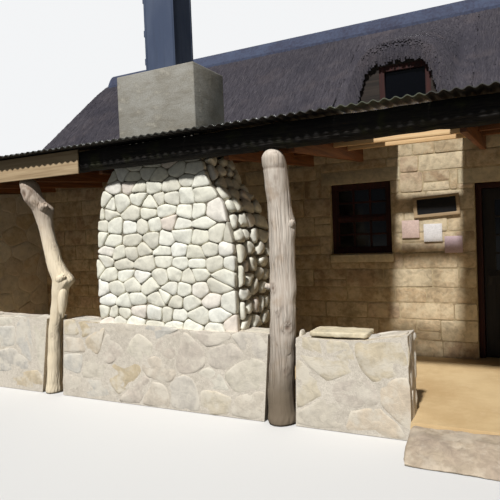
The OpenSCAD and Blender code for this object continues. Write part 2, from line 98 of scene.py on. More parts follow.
def buildStudio():
    s = studio
    bpy.ops.object.select_all(action="DESELECT")
    aim = turned(s["turnLeft"], "Z") @ turned(90 - s["tiltDown"], "X") @ turned(-s["lean"], "Z")
    bpy.ops.object.camera_add(location=s["eye"], rotation=aim.to_euler())
    camera = bpy.context.object
    camera.data.lens = s["lens"]
    camera.data.sensor_width = s["film"]
    bpy.context.scene.camera = camera

    for turn, height, strength, softness in s["suns"]:
        aim = turned(turn, "Z") @ turned(90 - height, "X")
        bpy.ops.object.light_add(type="SUN", location=(0, 0, 9), rotation=aim.to_euler())
        bpy.context.object.data.energy = strength
        bpy.context.object.data.angle = math.radians(softness)

    world = bpy.data.worlds.new("studioSky")
    world.use_nodes = True
    bpy.context.scene.world = world
    tree = world.node_tree
    tree.nodes.clear()
    mix = tree.nodes.new("ShaderNodeMixShader")
    tree.links.new(seenDirectly(tree), mix.inputs["Fac"])
    for socket, colour, strength in ((1, s["sky"], s["skyStrength"]), (2, s["backdrop"], 1.0)):
        light = tree.nodes.new("ShaderNodeBackground")
        light.inputs["Color"].default_value = colour
        light.inputs["Strength"].default_value = strength
        tree.links.new(light.outputs[0], mix.inputs[socket])
    out = tree.nodes.new("ShaderNodeOutputWorld")
    tree.links.new(mix.outputs[0], out.inputs["Surface"])

    bpy.ops.mesh.primitive_plane_add(size=s["floorSize"], location=(0, 0, -s["floorDrop"]))
    floor = bpy.context.object
    floor.name = "studioFloor"
    pale = bpy.data.materials.new("studioFloor")
    pale.use_nodes = True
    tree = pale.node_tree
    shader = tree.nodes["Principled BSDF"]
    shader.inputs["Roughness"].default_value = 0.9
    mix = tree.nodes.new("ShaderNodeMix")
    mix.data_type = "RGBA"
    tree.links.new(seenDirectly(tree), mix.inputs[0])
    mix.inputs[6].default_value = s["floorBounce"]
    mix.inputs[7].default_value = s["floorColour"]
    tree.links.new(mix.outputs[2], shader.inputs["Base Color"])
    floor.data.materials.append(pale)
    bpy.context.scene.view_settings.view_transform = "Standard"


buildStudio()
print("studio ready")


def tint(r, g, b):                  # a colour as a paint chart gives it, 0 to 255
    return tuple((c/255)/12.92 if c <= 10 else ((c/255 + 0.055)/1.055)**2.4 for c in (r, g, b)) + (1.0,)


class Wire:                         # a shader socket that can stand in a sum
    def __init__(self, finish, socket):
        self.finish, self.socket = finish, socket

    def maths(self, operation, a, b=0.0):
        return self.finish.node("Math", {"operation": operation}, {0: a, 1: b})

    def __add__(self, other):
        return self.maths("ADD", self, other)

    def __sub__(self, other):
        return self.maths("SUBTRACT", self, other)

    def __rsub__(self, other):
        return self.maths("SUBTRACT", other, self)

    def __mul__(self, other):
        return self.maths("MULTIPLY", self, other)

    __radd__ = __add__
    __rmul__ = __mul__

    def held(self):                 # kept between 0 and 1
        return self.finish.node("Clamp", {}, {0: self})

    def step(self, low, high):      # 0 at low, 1 at high, smooth between
        return self.finish.node(
            "MapRange", {"interpolation_type": "SMOOTHSTEP"}, {0: self, 1: low, 2: high, 3: 0.0, 4: 1.0})


class Finish:
    def __init__(self, name):
        self.material = bpy.data.materials.new(name)
        self.material.use_nodes = True
        self.tree = self.material.node_tree
        self.tree.nodes.clear()
        self.place = self.node("TexCoord", out="Object")

    def node(self, kind, settings=None, values=None, out=0):
        made = self.tree.nodes.new("ShaderNode" + kind)
        for key, value in (settings or {}).items():
            if key == "stops":
                ramp = made.color_ramp
                while len(ramp.elements) < len(value):
                    ramp.elements.new(0.5)
                for element, (at, colour) in zip(ramp.elements, value):
                    element.position, element.color = at, colour
            else:
                setattr(made, key, value)
        for key, value in (values or {}).items():
            if isinstance(value, Wire):
                self.tree.links.new(value.socket, made.inputs[key])
            else:
                made.inputs[key].default_value = value
        return Wire(self, made.outputs[out])

    def stretched(self, x, y, z):
        return self.node("Mapping", {}, {"Vector": self.place, "Scale": (x, y, z)})

    def along(self, axis):          # how far a point lies along X, Y or Z
        return self.node("SeparateXYZ", {}, {0: self.place}, out=axis)

    def noise(self, scale, detail=4.0, rough=0.55, at=None, warp=0.0):
        return self.node("TexNoise", {}, {"Vector": at or self.place, "Scale": scale, "Detail": detail,
                                          "Roughness": rough, "Distortion": warp})

    def spots(self, scale, at=None, feature="F1", out="Distance"):
        return self.node("TexVoronoi", {"feature": feature}, {"Vector": at or self.place, "Scale": scale}, out)

    def tone(self):                 # the number each piece carries: random for each stone, block or reed, and 1 on the roof sheets' underside, where shade is painted
        return self.node("Attribute", {"attribute_name": "tone"}, out="Fac")

    def ramp(self, factor, *stops):
        return self.node("ValToRGB", {"stops": stops}, {0: factor})

    def mixed(self, a, b, factor, way="MIX"):
        return self.node("Mix", {"data_type": "RGBA", "blend_type": way}, {0: factor, 6: a, 7: b}, out=2)

    def washed(self, colour, over, mask, share):    # a second colour laid over where the mask is
        return self.mixed(colour, over, (mask*share).held())

    def bumped(self, height, depth, strength=1.0):
        return self.node("Bump", {}, {"Height": height, "Distance": depth, "Strength": strength})

    def shade(self, colour, rough=0.8, normal=None, fixed=None, **varying):
        values = {"Base Color": colour, "Roughness": rough, **varying, **(fixed or {})}
        if normal:
            values["Normal"] = normal
        shader = self.node("BsdfPrincipled", {}, values)
        out = self.tree.nodes.new("ShaderNodeOutputMaterial")
        self.tree.links.new(shader.socket, out.inputs["Surface"])
        return self.material


def makeStoneFinish(name, stops, grain, speckle, weather=tint(96, 90, 78), soak=0.35, lime=None, limed=0.0):
    f = Finish(name)
    veins = f.noise(17, 6, 0.62, warp=0.6)
    fine = f.noise(150, 3, 0.6)
    dust = f.ramp(veins, (0.32, tint(150, 142, 128)), (0.62, tint(255, 250, 240)))
    colour = f.mixed(f.ramp(f.tone(), *stops), dust, speckle, "MULTIPLY")
    if lime:                        # old limewash that has worn off in patches
        colour = f.washed(colour, lime, f.noise(5.2, 6, 0.66).step(0.44, 0.60), limed)
    colour = f.washed(colour, weather, f.noise(3.1, 5, 0.6).step(0.52, 0.74), soak)
    height = veins*0.7 + fine*0.25 + f.spots(95).step(0.0, 0.35)*0.2
    return f.shade(colour, 0.78 + fine*0.2, f.bumped(height, grain, 0.9))


def makeMortarFinish(name, pale, dark, grain=0.004):
    f = Finish(name)
    cloud = f.noise(2.6, 5, 0.6)
    sand = f.noise(210, 2, 0.7)
    lump = f.noise(24, 4, 0.6)
    grains = f.ramp(sand, (0.35, tint(180, 176, 168)), (0.6, tint(255, 255, 255)))
    colour = f.mixed(pale, dark, (cloud*0.55 + lump*0.6).step(0.42, 0.78))
    return f.shade(f.mixed(colour, grains, 0.5, "MULTIPLY"), 0.9, f.bumped(lump*0.8 + sand*0.2, grain, 0.8))


def makeThatchFinish(name):
    f = Finish(name)
    reeds = f.noise(1.0, 5, 0.65, at=f.stretched(150, 10, 10))
    flecks = f.noise(1.0, 3, 0.7, at=f.stretched(70, 24, 24))
    ends = f.noise(120, 3, 0.7)
    fibre = (reeds*0.36 + f.tone()*0.13 + flecks*0.26 + ends*0.25).held()
    base = f.ramp(fibre, (0.26, tint(30, 27, 32)), (0.42, tint(52, 48, 56)),
                  (0.54, tint(68, 64, 70)), (0.74, tint(100, 93, 95)))
    base = f.washed(base, tint(42, 40, 50), f.noise(0.9, 5, 0.62).step(0.46, 0.66), 0.5)
    base = f.washed(base, tint(84, 76, 78), f.noise(2.6, 5, 0.62).step(0.50, 0.70), 0.45)
    return f.shade(base, 0.92, f.bumped(reeds*0.5 + flecks*0.4 + ends*0.5, 0.012, 1.0))


def makeWoodFinish(name, light, dark, along, ring, grain=0.003, rough=0.6, wear=None, worn=0.0, split=0.0,
                   foot=None, knot=None):
    f = Finish(name)
    fast, slow = ring*2.2, ring*0.09
    scale = {"X": (slow, fast, fast), "Y": (fast, slow, fast), "Z": (fast, fast, slow)}[along]
    figure = f.noise(1.0, 6, 0.6, at=f.stretched(*scale), warp=0.4)
    pores = f.noise(1.0, 3, 0.6, at=f.stretched(*(c*4 for c in scale)))
    cloud = f.noise(1.7, 4, 0.6)
    colour = f.mixed(dark, light, (figure*0.9 + pores*0.25).step(0.34, 0.78))
    colour = f.washed(colour, dark, cloud.step(0.5, 0.8), 0.45)
    height = figure*0.6 + pores*0.25
    if wear:
        colour = f.washed(colour, wear, f.noise(6.5, 5, 0.6).step(0.5, 0.72), worn)
    if split:                       # drying cracks that run with the grain
        crack = f.spots(1.0, at=f.stretched(*(c*0.55 for c in scale)), feature="DISTANCE_TO_EDGE")
        mask = ((1 - crack.step(0.0, 0.10))*f.noise(3.3, 3, 0.5).step(0.42, 0.62)).held()
        colour = f.washed(colour, tint(44, 37, 31), mask, split)
        height = height - mask*1.2
    if foot:                        # the straight post has a damp foot; the crooked one is painted paler below, painted sunlight, and browner towards its top, painted shade under the fascia
        low = (f.along("Z") + cloud*0.5).step(0.35, 1.25)
        high = f.along("Z").step(1.3, 2.1)
        straight = f.along("X").step(-2.6, -1.2)
        colour = f.mixed(colour, foot, ((1 - low)*straight).held())
        # painted light on the crooked post: paler below where the sun falls on its front, browner above in
        # painted shade
        colour = f.washed(colour, tint(246, 228, 192), (1 - high)*(1 - straight), 0.65)
        colour = f.washed(colour, tint(150, 122, 98), high*(1 - straight), 0.35)
    if knot:                        # each corner's tone says how near a knot it is
        colour = f.washed(colour, knot, f.tone(), 0.85)
    return f.shade(colour, rough + 0.2*pores, f.bumped(height, grain, 0.8))


def makeGalvanisedFinish():
    f = Finish("galvanisedSheet")
    streak = f.noise(1.0, 5, 0.6, at=f.stretched(34, 1.1, 8))
    patch = f.noise(2.2, 5, 0.62)
    spangle = f.spots(70, out="Color")
    rust = f.noise(7.5, 5, 0.65)
    grey = f.mixed(tint(96, 100, 100), tint(150, 151, 146), (streak*0.7 + patch*0.4).step(0.35, 0.75))
    grey = f.mixed(grey, spangle, 0.05, "SOFT_LIGHT")
    lichen = (rust.step(0.56, 0.68)*patch.step(0.40, 0.6)).held()
    colour = f.washed(grey, tint(112, 112, 74), lichen, 0.7)
    stain = f.noise(11, 4, 0.6, at=f.stretched(1, 0.35, 1)).step(0.60, 0.72)
    colour = f.washed(colour, tint(104, 70, 46), stain, 0.6)
    edgeDarkening = (f.along("Y")*-1 + patch*0.12).step(4.40, 4.56)     # darker along the sheets' lower edge
    colour = f.washed(colour, tint(58, 58, 50), edgeDarkening, 0.85)
    colour = f.mixed(colour, tint(46, 43, 40), f.tone())        # painted shade: the underside is painted dark
    # the painted shade underneath also takes the metal's sheen away
    metal = (0.55 - lichen*0.5)*(1 - f.tone())
    return f.shade(colour, 0.42 + patch*0.3, f.bumped(rust*0.3 + patch*0.2, 0.0015, 0.5), Metallic=metal.held())


def makeClearSheetFinish():
    f = Finish("clearSheet")
    dirt = f.noise(1.0, 5, 0.6, at=f.stretched(20, 2, 8))
    edge = (f.along("Y")*-1 + dirt*0.3).step(4.22, 4.48)
    colour = f.mixed(tint(232, 234, 222), tint(178, 176, 150), dirt.step(0.45, 0.8))
    colour = f.washed(colour, tint(60, 64, 40), edge, 0.92)
    cover = (0.04 + dirt*0.10 + edge*0.80).held()
    return f.shade(colour, 0.35 + dirt*0.3, f.bumped(dirt, 0.001, 0.3), Alpha=cover)


def makeGlassFinish():
    f = Finish("windowGlass")
    smear = f.noise(2.4, 3, 0.5)
    return f.shade(f.mixed(tint(6, 7, 12), tint(13, 14, 19), smear), 0.06 + smear*0.06,
                   f.bumped(f.noise(1.3, 2, 0.4), 0.002, 0.2), fixed={"Transmission Weight": 0.35, "IOR": 1.45})


def makeFluePaint():
    f = Finish("fluePaint")
    cloud = f.noise(2.0, 4, 0.6, at=f.stretched(1.4, 1.4, 0.6))
    run = f.noise(1.0, 4, 0.6, at=f.stretched(30, 30, 1.3))
    colour = f.mixed(tint(56, 68, 92), tint(76, 86, 106), cloud.step(0.35, 0.7))
    colour = f.washed(colour, tint(44, 50, 62), run.step(0.52, 0.75), 0.5)
    return f.shade(colour, 0.55 + cloud*0.15, f.bumped(cloud*0.5 + run*0.3, 0.002, 0.5))


def makePlasterFinish(pale, dark):      # thin hand-thrown plaster
    f = Finish("plasteredBlock")
    cloud = f.noise(3.4, 5, 0.6, at=f.stretched(0.8, 1, 1.7))
    trowel = f.noise(8, 6, 0.66, at=f.stretched(0.7, 0.8, 1.5), warp=0.2)
    grit = f.noise(90, 3, 0.7)
    colour = f.mixed(pale, dark, (cloud*0.6 + trowel*0.5).step(0.40, 0.72))
    colour = f.washed(colour, tint(222, 216, 200), trowel.step(0.54, 0.72), 0.35)
    grains = f.ramp(grit, (0.3, tint(170, 166, 160)), (0.6, tint(255, 255, 255)))
    colour = f.mixed(colour, grains, 0.5, "MULTIPLY")
    return f.shade(colour, 0.9, f.bumped(trowel*0.6 + grit*0.2 + cloud*0.4, 0.010, 1.0))


def makeScreedFinish():
    f = Finish("ochreScreed")
    cloud = f.noise(1.1, 5, 0.6)
    wear = f.noise(9, 5, 0.6)
    colour = f.mixed(tint(214, 187, 142), tint(190, 159, 114), (cloud*0.8 + wear*0.3).step(0.40, 0.75))
    colour = f.washed(colour, tint(228, 205, 165), wear.step(0.55, 0.75), 0.4)
    return f.shade(colour, 0.42 + wear*0.25, f.bumped(wear*0.4 + cloud, 0.003, 0.4))


def toned(*steps):                  # the colours that a stone's tone chooses from
    return [(at, tint(*colour)) for at, *colour in steps]


creams = toned((0.0, 227, 224, 207), (0.3, 236, 235, 222), (0.6, 217, 213, 197), (0.85, 242, 242, 233),
               (1.0, 229, 217, 204))
rubbles = toned((0.0, 214, 207, 190), (0.18, 202, 190, 176), (0.36, 212, 207, 196), (0.52, 196, 192, 184),
                (0.68, 214, 199, 178), (0.84, 200, 184, 154), (1.0, 224, 220, 208))
sandstones = toned((0.0, 196, 172, 138), (0.25, 212, 192, 160), (0.45, 180, 157, 124), (0.62, 218, 202, 172),
                   (0.8, 200, 177, 150), (1.0, 166, 141, 110))
stepStones = toned((0.0, 182, 167, 145), (1.0, 172, 155, 138))
paleStones = toned((0.0, 214, 200, 168), (1.0, 226, 216, 190))

finishes = {
    "screed_floor": makeScreedFinish(),
    "rough_step_stone": makeStoneFinish("roughStepStone", stepStones, 0.010, 0.45, tint(132, 121, 110), 0.6,
                                        tint(200, 186, 165), 0.6),
    "dressed_sandstone": makeMortarFinish("facadePointing", tint(204, 186, 150), tint(156, 136, 104)),
    "sandstone_blocks": makeStoneFinish("sandstoneBlocks", sandstones, 0.010, 0.6, tint(112, 98, 70), 0.6,
                                        tint(222, 206, 172), 0.5),
    "pale_stone": makeStoneFinish("paleStone", paleStones, 0.004, 0.4),
    "dark_reed_board": makeWoodFinish("darkBoard", tint(52, 43, 36), tint(24, 19, 16), "X", 18, rough=0.85),
    "loft_boards": makeWoodFinish("loftBoards", tint(140, 104, 66), tint(74, 50, 32), "X", 14, rough=0.65),
    "weathered_thatch": makeThatchFinish("weatheredThatch"),
    "ridge_mortar": makeMortarFinish("ridgeMortar", tint(68, 77, 100), tint(50, 51, 70), 0.006),
    "red_brown_joinery": makeWoodFinish("redBrownJoinery", tint(60, 22, 16), tint(30, 12, 9), "Z", 24,
                                        rough=0.8),
    "window_glass": makeGlassFinish(),
    "dark_door_paint": makeWoodFinish("darkDoorPaint", tint(30, 27, 26), tint(16, 15, 16), "Z", 20, rough=0.7),
    "rubble_parapet": makeMortarFinish("parapetMortar", tint(222, 212, 196), tint(198, 188, 172), 0.008),
    "rubble_stones": makeStoneFinish("parapetStones", rubbles, 0.008, 0.34, tint(172, 162, 144), 0.35,
                                     tint(216, 207, 190), 0.75),
    "silver_driftwood": makeWoodFinish("silverDriftwood", tint(216, 205, 190), tint(180, 164, 148), "Z", 30,
                                       0.004, 0.72, tint(176, 150, 122), 0.5, 0.30,
                                       foot=tint(116, 102, 84), knot=tint(92, 62, 40)),
    "dark_log": makeWoodFinish("darkLog", tint(38, 34, 30), tint(19, 17, 16), "X", 16, 0.005, 0.9,
                               tint(56, 58, 28), 0.6, 0.6),
    "tan_board": makeWoodFinish("tanBoard", tint(190, 166, 130), tint(148, 122, 90), "X", 12, rough=0.55),
    "orange_pine": makeWoodFinish("orangePine", tint(160, 106, 62), tint(94, 56, 30), "X", 16, rough=0.5),
    # paler pine, a painted highlight for the bars lit through the clear sheet
    "pale_pine": makeWoodFinish("palePine", tint(244, 208, 156), tint(212, 170, 118), "X", 16, rough=0.5),
    "galvanised_sheet": makeGalvanisedFinish(),
    "translucent_sheet": makeClearSheetFinish(),
    "white_rubble": makeMortarFinish("openJoints", tint(150, 142, 124), tint(92, 85, 72), 0.010),
    "white_stones": makeStoneFinish("whiteStones", creams, 0.005, 0.30, tint(176, 166, 144), 0.35),
    "plastered_block": makePlasterFinish(tint(157, 154, 145), tint(128, 122, 109)),
    "blue_grey_steel": makeFluePaint(),
    "orange_pine_deep": makeWoodFinish("pineRafters", tint(150, 94, 54), tint(92, 52, 28), "Y", 16, rough=0.5),
    "dark_iron": makeMortarFinish("darkIron", tint(52, 50, 48), tint(36, 34, 33), 0.0006),
    "sign_black": makeMortarFinish("signBlack", tint(26, 26, 28), tint(18, 18, 20), 0.0005),
    "plaque_pink": makeMortarFinish("pinkPlaque", tint(222, 196, 184), tint(204, 178, 166), 0.0008),
    "plaque_white": makeMortarFinish("whitePlaque", tint(236, 232, 230), tint(220, 216, 214), 0.0008),
    "plaque_mauve": makeMortarFinish("mauvePlaque", tint(206, 182, 186), tint(188, 164, 170), 0.0008),
}

for row in frame["record"]["subparts"]:
    carried = nodes[row["node"]]
    carried.data.materials.clear()
    carried.data.materials.append(finishes[row["material_slot"]])
print("finishes ready")


upright = {"-Y": (90, 0, 0), "+Y": (90, 0, 180), "+X": (90, 0, 90), "-X": (90, 0, -90)}


def facing(side, at):               # stands a piece drawn flat, x right and y up, against a wall
    turn = Euler([math.radians(a) for a in upright[side]]).to_matrix().to_4x4()
    return Matrix.Translation(at) @ turn


def pick(*objects):                 # these alone are selected, the first one active
    bpy.ops.object.select_all(action="DESELECT")
    for obj in objects:
        obj.select_set(True)
    bpy.context.view_layer.objects.active = objects[0]


def editOn(obj):
    pick(obj)
    bpy.ops.object.mode_set(mode="EDIT")


def newMesh():                      # empty, and open for editing
    bpy.ops.object.select_all(action="DESELECT")
    bpy.ops.object.add(type="MESH", enter_editmode=True)
    return bpy.context.object


def editOff():
    bpy.ops.object.mode_set(mode="OBJECT")


def pickAll():
    bpy.ops.mesh.select_all(action="SELECT")


def pickFaces(obj, test):
    mesh = bmesh.from_edit_mesh(obj.data)
    bpy.ops.mesh.select_all(action="DESELECT")
    for face in mesh.faces:
        if test(face.calc_center_median(), face.normal):
            face.select_set(True)
    mesh.select_flush_mode()
    bmesh.update_edit_mesh(obj.data)


def points(obj):
    co = np.empty(len(obj.data.vertices)*3)
    obj.data.vertices.foreach_get("co", co)
    return co.reshape(-1, 3)


def setPoints(obj, co):
    obj.data.vertices.foreach_set("co", np.asarray(co, float).ravel())
    obj.data.update()


def setTone(obj, tones):
    layer = obj.data.attributes.new("tone", "FLOAT", "POINT")
    layer.data.foreach_set("value", np.asarray(tones, np.float32))


def settle(obj):                    # the piece's place goes into its mesh
    pick(obj)
    bpy.ops.object.transform_apply(location=True, rotation=True, scale=True)
    return obj


def rod(corners, radius, length, at=(0, 0, 0), turn=(0, 0, 0)):
    bpy.ops.object.select_all(action="DESELECT")
    bpy.ops.mesh.primitive_cylinder_add(
        vertices=corners, radius=radius, depth=length, location=at, rotation=[math.radians(a) for a in turn])
    return settle(bpy.context.object)


def finishPiece(obj, name, finish, body="cottage", smooth=35):
    settle(obj)
    co = points(obj)
    if co[:, 2].min() < 0:          # nothing goes under the ground
        co[:, 2] = np.clip(co[:, 2], 0, None)
        setPoints(obj, co)
    if smooth:
        bpy.ops.object.shade_smooth_by_angle(angle=math.radians(smooth))
    obj.name = name
    obj.data.name = name
    obj.data.materials.clear()
    obj.data.materials.append(finishes[finish])
    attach(obj, body)
    return obj


def copied(model, name, frames, tones=None):    # many copies of one model, in one mesh
    co = points(model)
    faces = [list(p.vertices) for p in model.data.polygons]
    n, corners, polygons = len(co), [], []
    for i, place in enumerate(frames):
        m = np.array(place)
        corners.append(co @ m[:3, :3].T + m[:3, 3])
        polygons += [[v + i*n for v in face] for face in faces]
    mesh = bpy.data.meshes.new(name)
    mesh.from_pydata(np.concatenate(corners).tolist(), [], polygons)
    mesh.validate()
    obj = bpy.data.objects.new(name, mesh)
    bpy.context.scene.collection.objects.link(obj)
    if tones is not None:
        setTone(obj, np.repeat(tones, n))
    return obj


def drop(obj):
    bpy.data.objects.remove(obj, do_unlink=True)


def islands(obj):                   # which loose part each corner of a mesh belongs to
    parent = list(range(len(obj.data.vertices)))

    def root(i):
        while parent[i] != i:
            parent[i] = parent[parent[i]]
            i = parent[i]
        return i

    for edge in obj.data.edges:
        a, b = root(edge.vertices[0]), root(edge.vertices[1])
        if a != b:
            parent[a] = b
    roots = [root(i) for i in range(len(parent))]
    order = {r: k for k, r in enumerate(dict.fromkeys(roots))}
    return np.array([order[r] for r in roots])


def joinAll(parts):
    pick(*parts)
    bpy.ops.object.join()
    return parts[0]


def mergedCopy(node):               # a CAD node's mesh, closed up and ready to be worked
    obj = nodes[node].copy()
    obj.data = nodes[node].data.copy()
    obj.parent = None
    obj.matrix_world = Matrix()
    for group in list(obj.users_collection):
        group.objects.unlink(obj)
    bpy.context.scene.collection.objects.link(obj)
    for key in list(obj.keys()):
        del obj[key]
    editOn(obj)
    pickAll()
    bpy.ops.mesh.remove_doubles(threshold=1e-5)
    editOff()
    return obj


def modified(obj, kind, **settings):    # a modifier, set and applied
    made = obj.modifiers.new("made", kind)
    for key, value in settings.items():
        setattr(made, key, value)
    bpy.context.view_layer.objects.active = obj
    bpy.ops.object.modifier_apply(modifier=made.name)


def ease(obj, width):
    modified(obj, "BEVEL", width=width, segments=2, limit_method="ANGLE", angle_limit=math.radians(35))


def camel(node):                    # roof_sheets_left becomes roofSheetsLeft
    first, *rest = node.split("_")
    return first + "".join(word.capitalize() for word in rest)


def easedNode(node, name, finish, width, slot=None, body="cottage", smooth=35, far=None):
    obj = mergedCopy(node)
    if far:                         # the edge in front of far[0] is set back or carried forward
        co = points(obj)
        co[:, 1] += np.where(co[:, 1] < far[0], far[1], 0)
        setPoints(obj, co)
    if width:
        ease(obj, width)
    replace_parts(finishPiece(obj, name, finish, body, smooth), node)
    return obj


def boxesPiece(boxes, bevel, segments=2):       # squared strips and plates, their edges eased
    obj = newMesh()
    for low, high in boxes:
        bpy.ops.mesh.select_all(action="DESELECT")
        middle = [(a + b)/2 for a, b in zip(low, high)]
        bpy.ops.mesh.primitive_cube_add(size=1, location=middle)
        bpy.ops.transform.resize(value=[b - a for a, b in zip(low, high)], center_override=middle)
    pickAll()
    bpy.ops.mesh.bevel(offset=bevel, segments=segments, affect="EDGES", clamp_overlap=True)
    editOff()
    return obj


def oblong(x0, y0, x1, y1):
    return [(x0, y0), (x1, y0), (x1, y1), (x0, y1)]


def mirrored(outline):              # as it looks from the other side
    return [(-u, v) for u, v in outline][::-1]


def outlineDistance(p, a, b):
    along = max(0.0, min(1.0, (p - a).dot(b - a)/max((b - a).length_squared, 1e-9)))
    return (p - a.lerp(b, along)).length


# each stone is cut to its neighbours, all of them in one edit session
def layStones(name, cells, outline, place, stone, crowded=True):
    rng = random.Random(name)
    outline = [Vector(p) for p in outline]
    edges = list(zip(outline, outline[1:] + outline[:1]))
    flat = stone.get("flat", 1.0)   # below 1 the joints run more level and upright
    tree = KDTree(len(cells))
    for i, cell in enumerate(cells):
        tree.insert((cell[0]*flat, cell[1], 0), i)
    tree.balance()

    def roundCorners():
        bpy.ops.mesh.bevel(offset=stone["corner"], segments=1, affect="VERTICES", clamp_overlap=True)
        pickAll()

    obj = newMesh()
    for x, y, wide, high in cells:
        seed = Vector((x, y))
        bpy.ops.mesh.primitive_plane_add(size=1, location=(x, y, 0))
        bpy.ops.transform.resize(value=(wide, high, 1), center_override=(x, y, 0))
        cuts = []
        if crowded:
            for _, i, _ in tree.find_n((x*flat, y, 0), 13)[1:]:
                other = Vector(cells[i][:2])
                away = Vector(((other.x - x)*flat**2, other.y - y)).normalized()
                cuts.append(((seed + other)/2 - away*stone["joint"]*rng.uniform(0.5, 1.5)/2, away))
        for a, b in edges:
            along = (seed - a).dot(b - a)/(b - a).length
            if outlineDistance(seed, a, b) < max(wide, high)*0.75 and -0.03 < along < (b - a).length + 0.03:
                cuts.append((a, Vector((b.y - a.y, a.x - b.x))))
        for point, normal in cuts:
            pickAll()
            bpy.ops.mesh.bisect(plane_co=(*point, 0), plane_no=(*normal, 0), clear_outer=True)
        pickAll()
        if crowded:
            bpy.ops.mesh.remove_doubles(threshold=stone["corner"]*0.7)
            roundCorners()
        bpy.ops.mesh.hide()
    bpy.ops.mesh.reveal(select=True)
    if not crowded:
        roundCorners()
    lifts = 2 if crowded else 1
    for _ in range(lifts):
        bpy.ops.mesh.extrude_region_move(TRANSFORM_OT_translate={"value": (0, 0, stone["proud"])})
    top = stone["proud"]*lifts - 1e-4
    pickFaces(obj, lambda centre, normal: centre.z > top)
    bpy.ops.mesh.inset(
        thickness=stone["round"], depth=stone["crown"], use_individual=True, use_even_offset=False)
    editOff()
    co = points(obj)
    co[:, 2] = np.where(co[:, 2] < stone["proud"]*0.5, -stone["depth"], co[:, 2])
    setPoints(obj, co)
    if crowded:
        modified(obj, "SUBSURF", levels=1, render_levels=1)
        co = points(obj)
    part = islands(obj)
    n = part.max() + 1
    count = np.bincount(part, minlength=n)
    centre = np.stack([np.bincount(part, co[:, k], n)/count for k in (0, 1)], 1)
    lean = np.array([[rng.uniform(-1, 1) for _ in range(3)] for _ in range(n)])[part]
    shift = stone["tilt"]*((co[:, :2] - centre[part])*lean[:, :2]).sum(1) + stone["lift"]*lean[:, 2]
    rough = np.array([noise.noise(Vector(p)*stone["lumps"]) for p in co])*stone["rough"]
    raised = co[:, 2] > stone["proud"]*0.5
    co[:, 2] = np.where(raised, np.maximum(co[:, 2] + shift + rough, 0.002), co[:, 2])
    for axis, layer in ((0, 5), (1, 9)):
        co[:, axis] += [stone["wobble"]*noise.noise(Vector((p[0]*16, p[1]*16, layer))) for p in co]
    setPoints(obj, place(co) if callable(place) else co)
    setTone(obj, np.array([rng.random() for _ in range(n)])[part])
    if not callable(place):
        obj.matrix_world = place
        settle(obj)
    obj.name = name
    return obj


def inside(p, outline):
    hits = 0
    for (ax, ay), (bx, by) in zip(outline, outline[1:] + outline[:1]):
        if (ay > p[1]) != (by > p[1]) and p[0] < ax + (p[1] - ay)*(bx - ax)/(by - ay):
            hits += 1
    return hits % 2 == 1


def rubbleCells(outline, stone, seed):          # loose rows of stone middles that stay inside an outline
    rng = random.Random(seed)
    xs, ys = [p[0] for p in outline], [p[1] for p in outline]
    cells, y, row = [], min(ys) + stone["high"]*0.5, 0
    while y < max(ys):
        x = min(xs) + stone["wide"]*(0.3 if row % 2 else 0.7)*rng.uniform(0.7, 1.3)
        while x < max(xs):
            p = (x + rng.uniform(-1, 1)*stone["jitter"]*stone["wide"],
                 y + rng.uniform(-1, 1)*stone["jitter"]*stone["high"])
            if inside(p, outline):
                cells.append((*p, stone["reach"]*2, stone["reach"]*2))
            x += stone["wide"]*rng.choice((0.62, 0.85, 1.0, 1.2, 1.45))
        y += stone["high"]*rng.uniform(0.85, 1.15)
        row += 1
    return cells


def rubble(name, outline, place, stone, seed, clear=None):      # no stone stands where clear says
    cells = [cell for cell in rubbleCells(outline, stone, seed) if not (clear and clear(cell))]
    return layStones(name, cells, outline, place, stone)


def leaning(profile, side):             # wraps a flat sheet of stones up a wall that leans back
    profile = [Vector(p) for p in profile]
    lengths = [0.0]
    for a, b in zip(profile, profile[1:]):
        lengths.append(lengths[-1] + (b - a).length)

    def place(co):
        out = np.empty_like(co)
        for i, (u, v, w) in enumerate(co):
            k = max(0, min(len(profile) - 2, int(np.searchsorted(lengths, v)) - 1))
            a, b = profile[k], profile[k + 1]
            d = (b - a).normalized()
            p = a + d*(v - lengths[k])
            across, up = p.x + d.y*w, p.y - d.x*w
            if side == "+X":
                out[i] = (across, u, up)
            elif side == "-X":
                out[i] = (-across, -u, up)
            else:
                out[i] = (-u, across, up)
        return out

    return place, lengths[-1]


fireplace = {
    "centre": -1.829, "front": -4.20, "back": -3.40,
    # half width and height up each side, as seen from the front
    "right": ((0.756, 0.0), (0.756, 1.40), (0.740, 1.52), (0.666, 1.83), (0.536, 2.03), (0.470, 2.22),
              (0.430, 2.41)),
    "left": ((0.756, 0.0), (0.756, 1.33), (0.712, 1.73), (0.642, 2.04), (0.490, 2.24), (0.430, 2.41)),
    "wide": 0.165, "high": 0.118, "jitter": 0.26, "flat": 0.72,
    "joint": 0.002, "corner": 0.014, "proud": 0.009, "round": 0.016, "crown": 0.009,
    "tilt": 0.10, "lift": 0.006, "lumps": 14.0, "rough": 0.012, "reach": 0.28, "depth": 0.08, "wobble": 0.006,
}
fireplaceSides = dict(fireplace, wide=0.15, high=0.125, flat=0.9, joint=0.020, corner=0.026, proud=0.014,
                      crown=0.018, tilt=0.16, depth=0.03)


